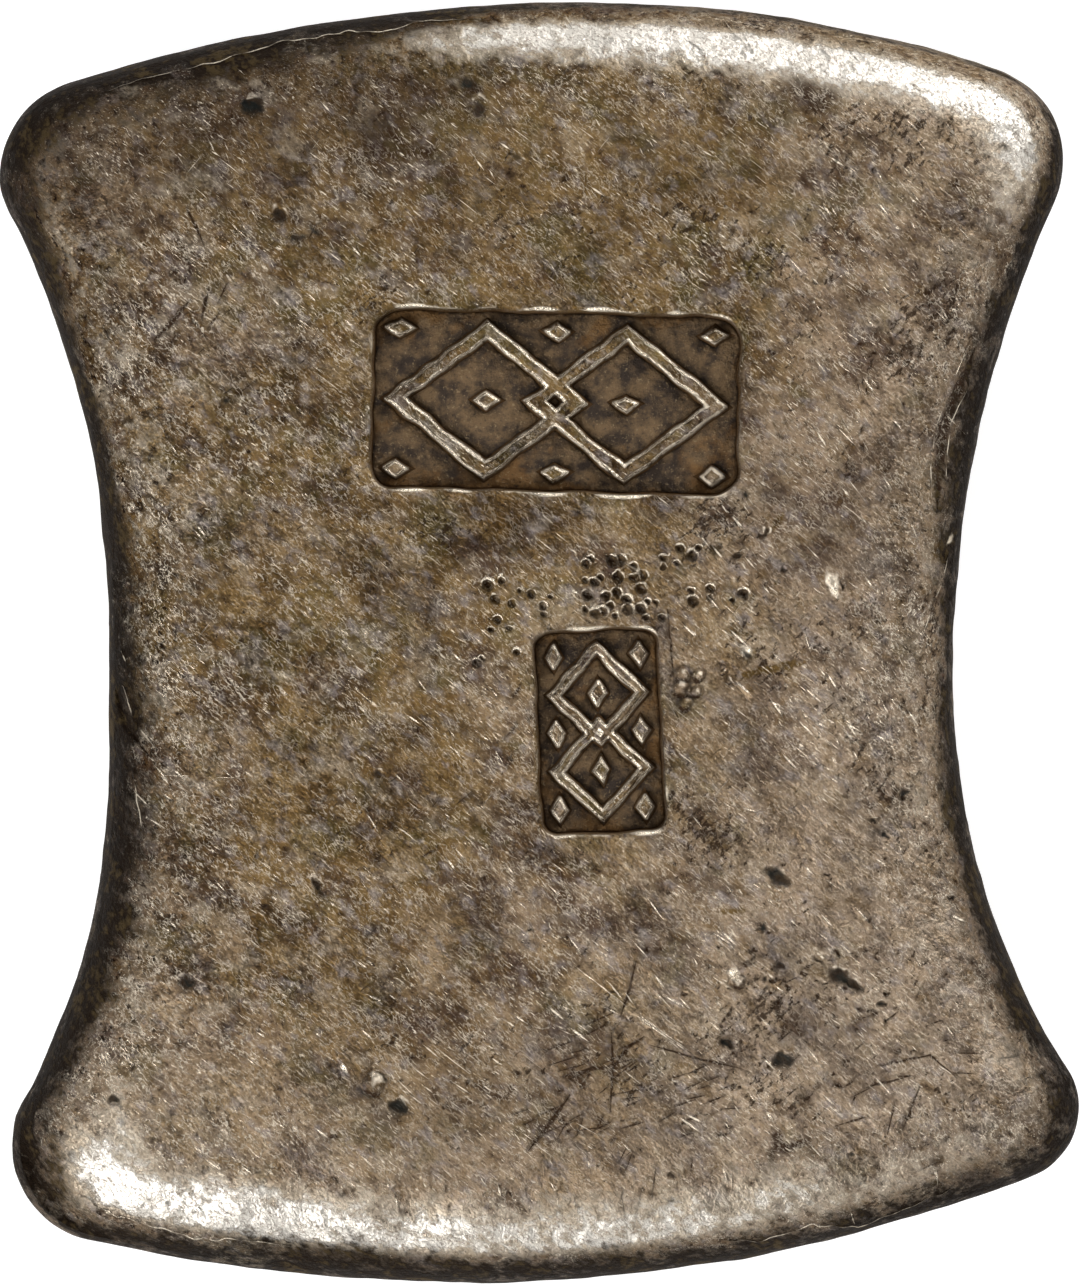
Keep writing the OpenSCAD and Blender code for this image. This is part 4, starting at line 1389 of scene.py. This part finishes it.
silver_ingot.data = pitted
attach(silver_ingot, "root")
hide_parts("silver_body")

# Residue in the marks
# Earth and polish have packed into both pockets and dried there. It lies on the floor round the raised lines,
# thin and uneven, brown with ochre edges, and is held by nothing but its own grip.
RESIDUE_GAP = 0.05
RESIDUE_THIN, RESIDUE_THICK = 0.03, 0.15
RESIDUE_SINK = 0.01
RESIDUE_SHOULDER = 0.35
RESIDUE_EDGE_SHARE = 0.4
RESIDUE_SWELL = (0.5, 0.3, 1.6, 41)
RESIDUE_LUMPS = (0, 0.25, 0.55, 42)
RESIDUE_SEED = 9
RUST_REACH = 0.9


def residue_mesh(mark):
    """Points and faces of the residue in a mark: an uneven top, a flat back and a thin edge between."""
    draw = np.random.default_rng(RESIDUE_SEED)
    border = mark.plate_loop(-POCKET_WALL_RUN - RESIDUE_GAP)
    loops = mark.device_loops(LINE_FOOT + RESIDUE_GAP)
    loose = mark.placed(scatter(*mark.half, MARK_PITCH, draw))
    loose = loose[mark.plate_distance(loose) < -POCKET_WALL_RUN - RESIDUE_GAP]
    loose = loose[mark.device_distance(loose) > LINE_FOOT + RESIDUE_GAP]
    loose = away_from(loose, np.concatenate([border] + loops), GRID_CLEARANCE)
    flat, triangles, _ = triangulate(border, loops, [], loose)
    middles = flat[triangles].mean(axis=1)
    triangles = triangles[mark.device_distance(middles) > LINE_FOOT + RESIDUE_GAP]
    used, triangles = np.unique(triangles, return_inverse=True)
    triangles = triangles.reshape(-1, 3)
    flat = flat[used]
    bed = FACE_Z - MARK_DEPTH
    from_pocket = -POCKET_WALL_RUN - mark.plate_distance(flat)
    from_edge = np.minimum(from_pocket, mark.device_distance(flat) - LINE_FOOT)
    swell = wavering(flat, *RESIDUE_SWELL) + wavering(flat, *RESIDUE_LUMPS)
    spread = RESIDUE_THIN + (RESIDUE_THICK - RESIDUE_THIN) * np.clip(swell, 0, 1)
    shoulder = smooth(from_edge, RESIDUE_GAP, RESIDUE_SHOULDER)
    crest = spread * (RESIDUE_EDGE_SHARE + (1 - RESIDUE_EDGE_SHARE) * shoulder)
    top = np.column_stack([flat, bed + crest])
    back = np.column_stack([flat, np.full(len(flat), bed - RESIDUE_SINK)])
    sides = np.concatenate([triangles[:, [0, 1]], triangles[:, [1, 2]], triangles[:, [2, 0]]])
    known = set(map(tuple, sides.tolist()))
    rim = [(a, b) for a, b in known if (b, a) not in known]
    below = len(flat)
    faces = triangles.tolist() + (below + triangles[:, ::-1]).tolist()
    faces += [(a, below + a, below + b, b) for a, b in sorted(rim)]
    return np.concatenate([top, back]), faces


def earthy_residue():
    finish = Finish("earthy_residue")
    rust = finish.mask("rust")
    clump = finish.cloud(1.3, 5, 0.65, shift=3.3)
    crumb = finish.cloud(0.22, 4, 0.7, shift=8.7)
    grain = finish.cloud(0.10, 2, 0.5, shift=5.9)
    ochre = finish.cloud(2.6, 4, 0.6, shift=13.9)
    glint = crumb + (grain - 0.5) * 0.5
    tone = finish.layered(
        finish.mix(clump.ramp(0.37, 0.64), paint("2e2013"), paint("755d3f")),
        ((ochre + rust * 0.17).ramp(0.59, 0.73) * 0.55, paint("805821")),
        (crumb.ramp(0.47, 0.28) * 0.75, paint("22180f")),
        (glint.ramp(0.58, 0.72) * 0.6, paint("a08a68")))
    bright = glint.ramp(0.6, 0.8)
    height = crumb + grain * 0.4 + clump * 0.8
    return finish.shade(tone, 0.72 - bright * 0.3, 0.15 + bright * 0.5, height, depth=0.14)


RESIDUE = earthy_residue()
for mark, node in ((WIDE_MARK, "wide_mark_residue"), (TALL_MARK, "tall_mark_residue")):
    residue_points, residue_faces = residue_mesh(mark)
    residue = plain_object(node + "_crust", residue_points, residue_faces)
    carry(residue, "rust", np.exp(mark.plate_distance(residue_points[:, :2]) / RUST_REACH))
    residue.data.materials.append(RESIDUE)
    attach(residue, "root")
    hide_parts(node)

# Floor
# A plain white studio table that the ingot lies on. It keeps the ingot's soft shadow, and shows white to the
# camera and in the metal.
FLOOR_HALF = 2.0
FLOOR_WHITE = paint("ffffff")
FLOOR_BOARD = paint("c8c8c8")
FLOOR_LIFT = 0.72


def floor_finish():
    finish = Finish("studio_floor")
    to_camera, to_gloss, through = (finish.add("ShaderNodeLightPath", output=name) for name in (
        "Is Camera Ray", "Is Glossy Ray", "Is Transmission Ray"))
    seen = (to_camera + to_gloss + through).at_most(1)
    board = finish.add("ShaderNodeBsdfDiffuse", {}, {"Color": FLOOR_BOARD})
    glow = finish.add("ShaderNodeEmission", {}, {"Color": FLOOR_WHITE, "Strength": seen * FLOOR_LIFT})
    both = finish.add("ShaderNodeAddShader", {}, {0: board, 1: glow})
    finish.add("ShaderNodeOutputMaterial", {}, {"Surface": both})
    return finish.material


corner_signs = np.array([(-1, -1, 0), (1, -1, 0), (1, 1, 0), (-1, 1, 0)])
floor = plain_object("floor", corner_signs * FLOOR_HALF / MM, [(0, 1, 2, 3)])
floor.data.materials.append(floor_finish())

# Light
# Two large soft boxes stand across the ingot, one past the upper right and one past the lower left. A dimmer
# one hangs over it. The room's pale walls fill in from low down, under a dark ceiling.
WALL_LIGHT, CEILING_LIGHT = 0.7, 0.14
WALL_TOP, CEILING_START = 15, 48
LAMP_DISTANCE = 0.5
LAMP_HEIGHT = 0.27


def soft_box(name, bearing, elevation, width, power):
    lamp = bpy.data.lights.new(name, "AREA")
    lamp.shape = "RECTANGLE"
    lamp.size = width
    lamp.size_y = LAMP_HEIGHT
    lamp.energy = power
    stand = bpy.data.objects.new(name, lamp)
    a, e = math.radians(bearing), math.radians(elevation)
    way = Vector((math.cos(a) * math.cos(e), math.sin(a) * math.cos(e), math.sin(e)))
    stand.location = way * LAMP_DISTANCE
    stand.rotation_euler = way.to_track_quat("Z", "Y").to_euler()
    bpy.context.scene.collection.objects.link(stand)


soft_box("upper_right_box", bearing=53, elevation=26, width=0.42, power=1.8)
soft_box("lower_left_box", bearing=231, elevation=41, width=0.40, power=2.0)
soft_box("overhead_box", bearing=0, elevation=90, width=0.22, power=0.14)
room = bpy.data.worlds.new("room")
room.use_nodes = True
walls = Tree(room.node_tree)
walls.nodes.nodes.clear()
ray = walls.add("ShaderNodeTexCoord", output="Generated")
ray_climb = walls.add("ShaderNodeSeparateXYZ", {}, {0: ray}, "Z")
overhead = ray_climb.ramp(math.sin(math.radians(WALL_TOP)), math.sin(math.radians(CEILING_START)))
room_light = walls.add("ShaderNodeBackground", {}, {
    "Color": paint("ffffff"), "Strength": WALL_LIGHT + overhead * (CEILING_LIGHT - WALL_LIGHT)})
walls.add("ShaderNodeOutputWorld", {}, {"Surface": room_light})
bpy.context.scene.world = room

# Camera
# A long lens straight above the ingot, as the photograph was taken.
FRAME_HEIGHT = 65.30
SENSOR = 36.0
LENS = 250.0
NEAREST_SEEN = 0.01
camera = bpy.data.objects.new("camera", bpy.data.cameras.new("camera"))
camera.data.sensor_width = SENSOR
camera.data.lens = LENS
camera.location = (0, 0, (FRAME_HEIGHT * LENS / SENSOR + WIDEST_Z) * MM)
camera.data.clip_start = NEAREST_SEEN
bpy.context.scene.collection.objects.link(camera)
bpy.context.scene.camera = camera
bpy.context.scene.view_settings.view_transform = "Standard"
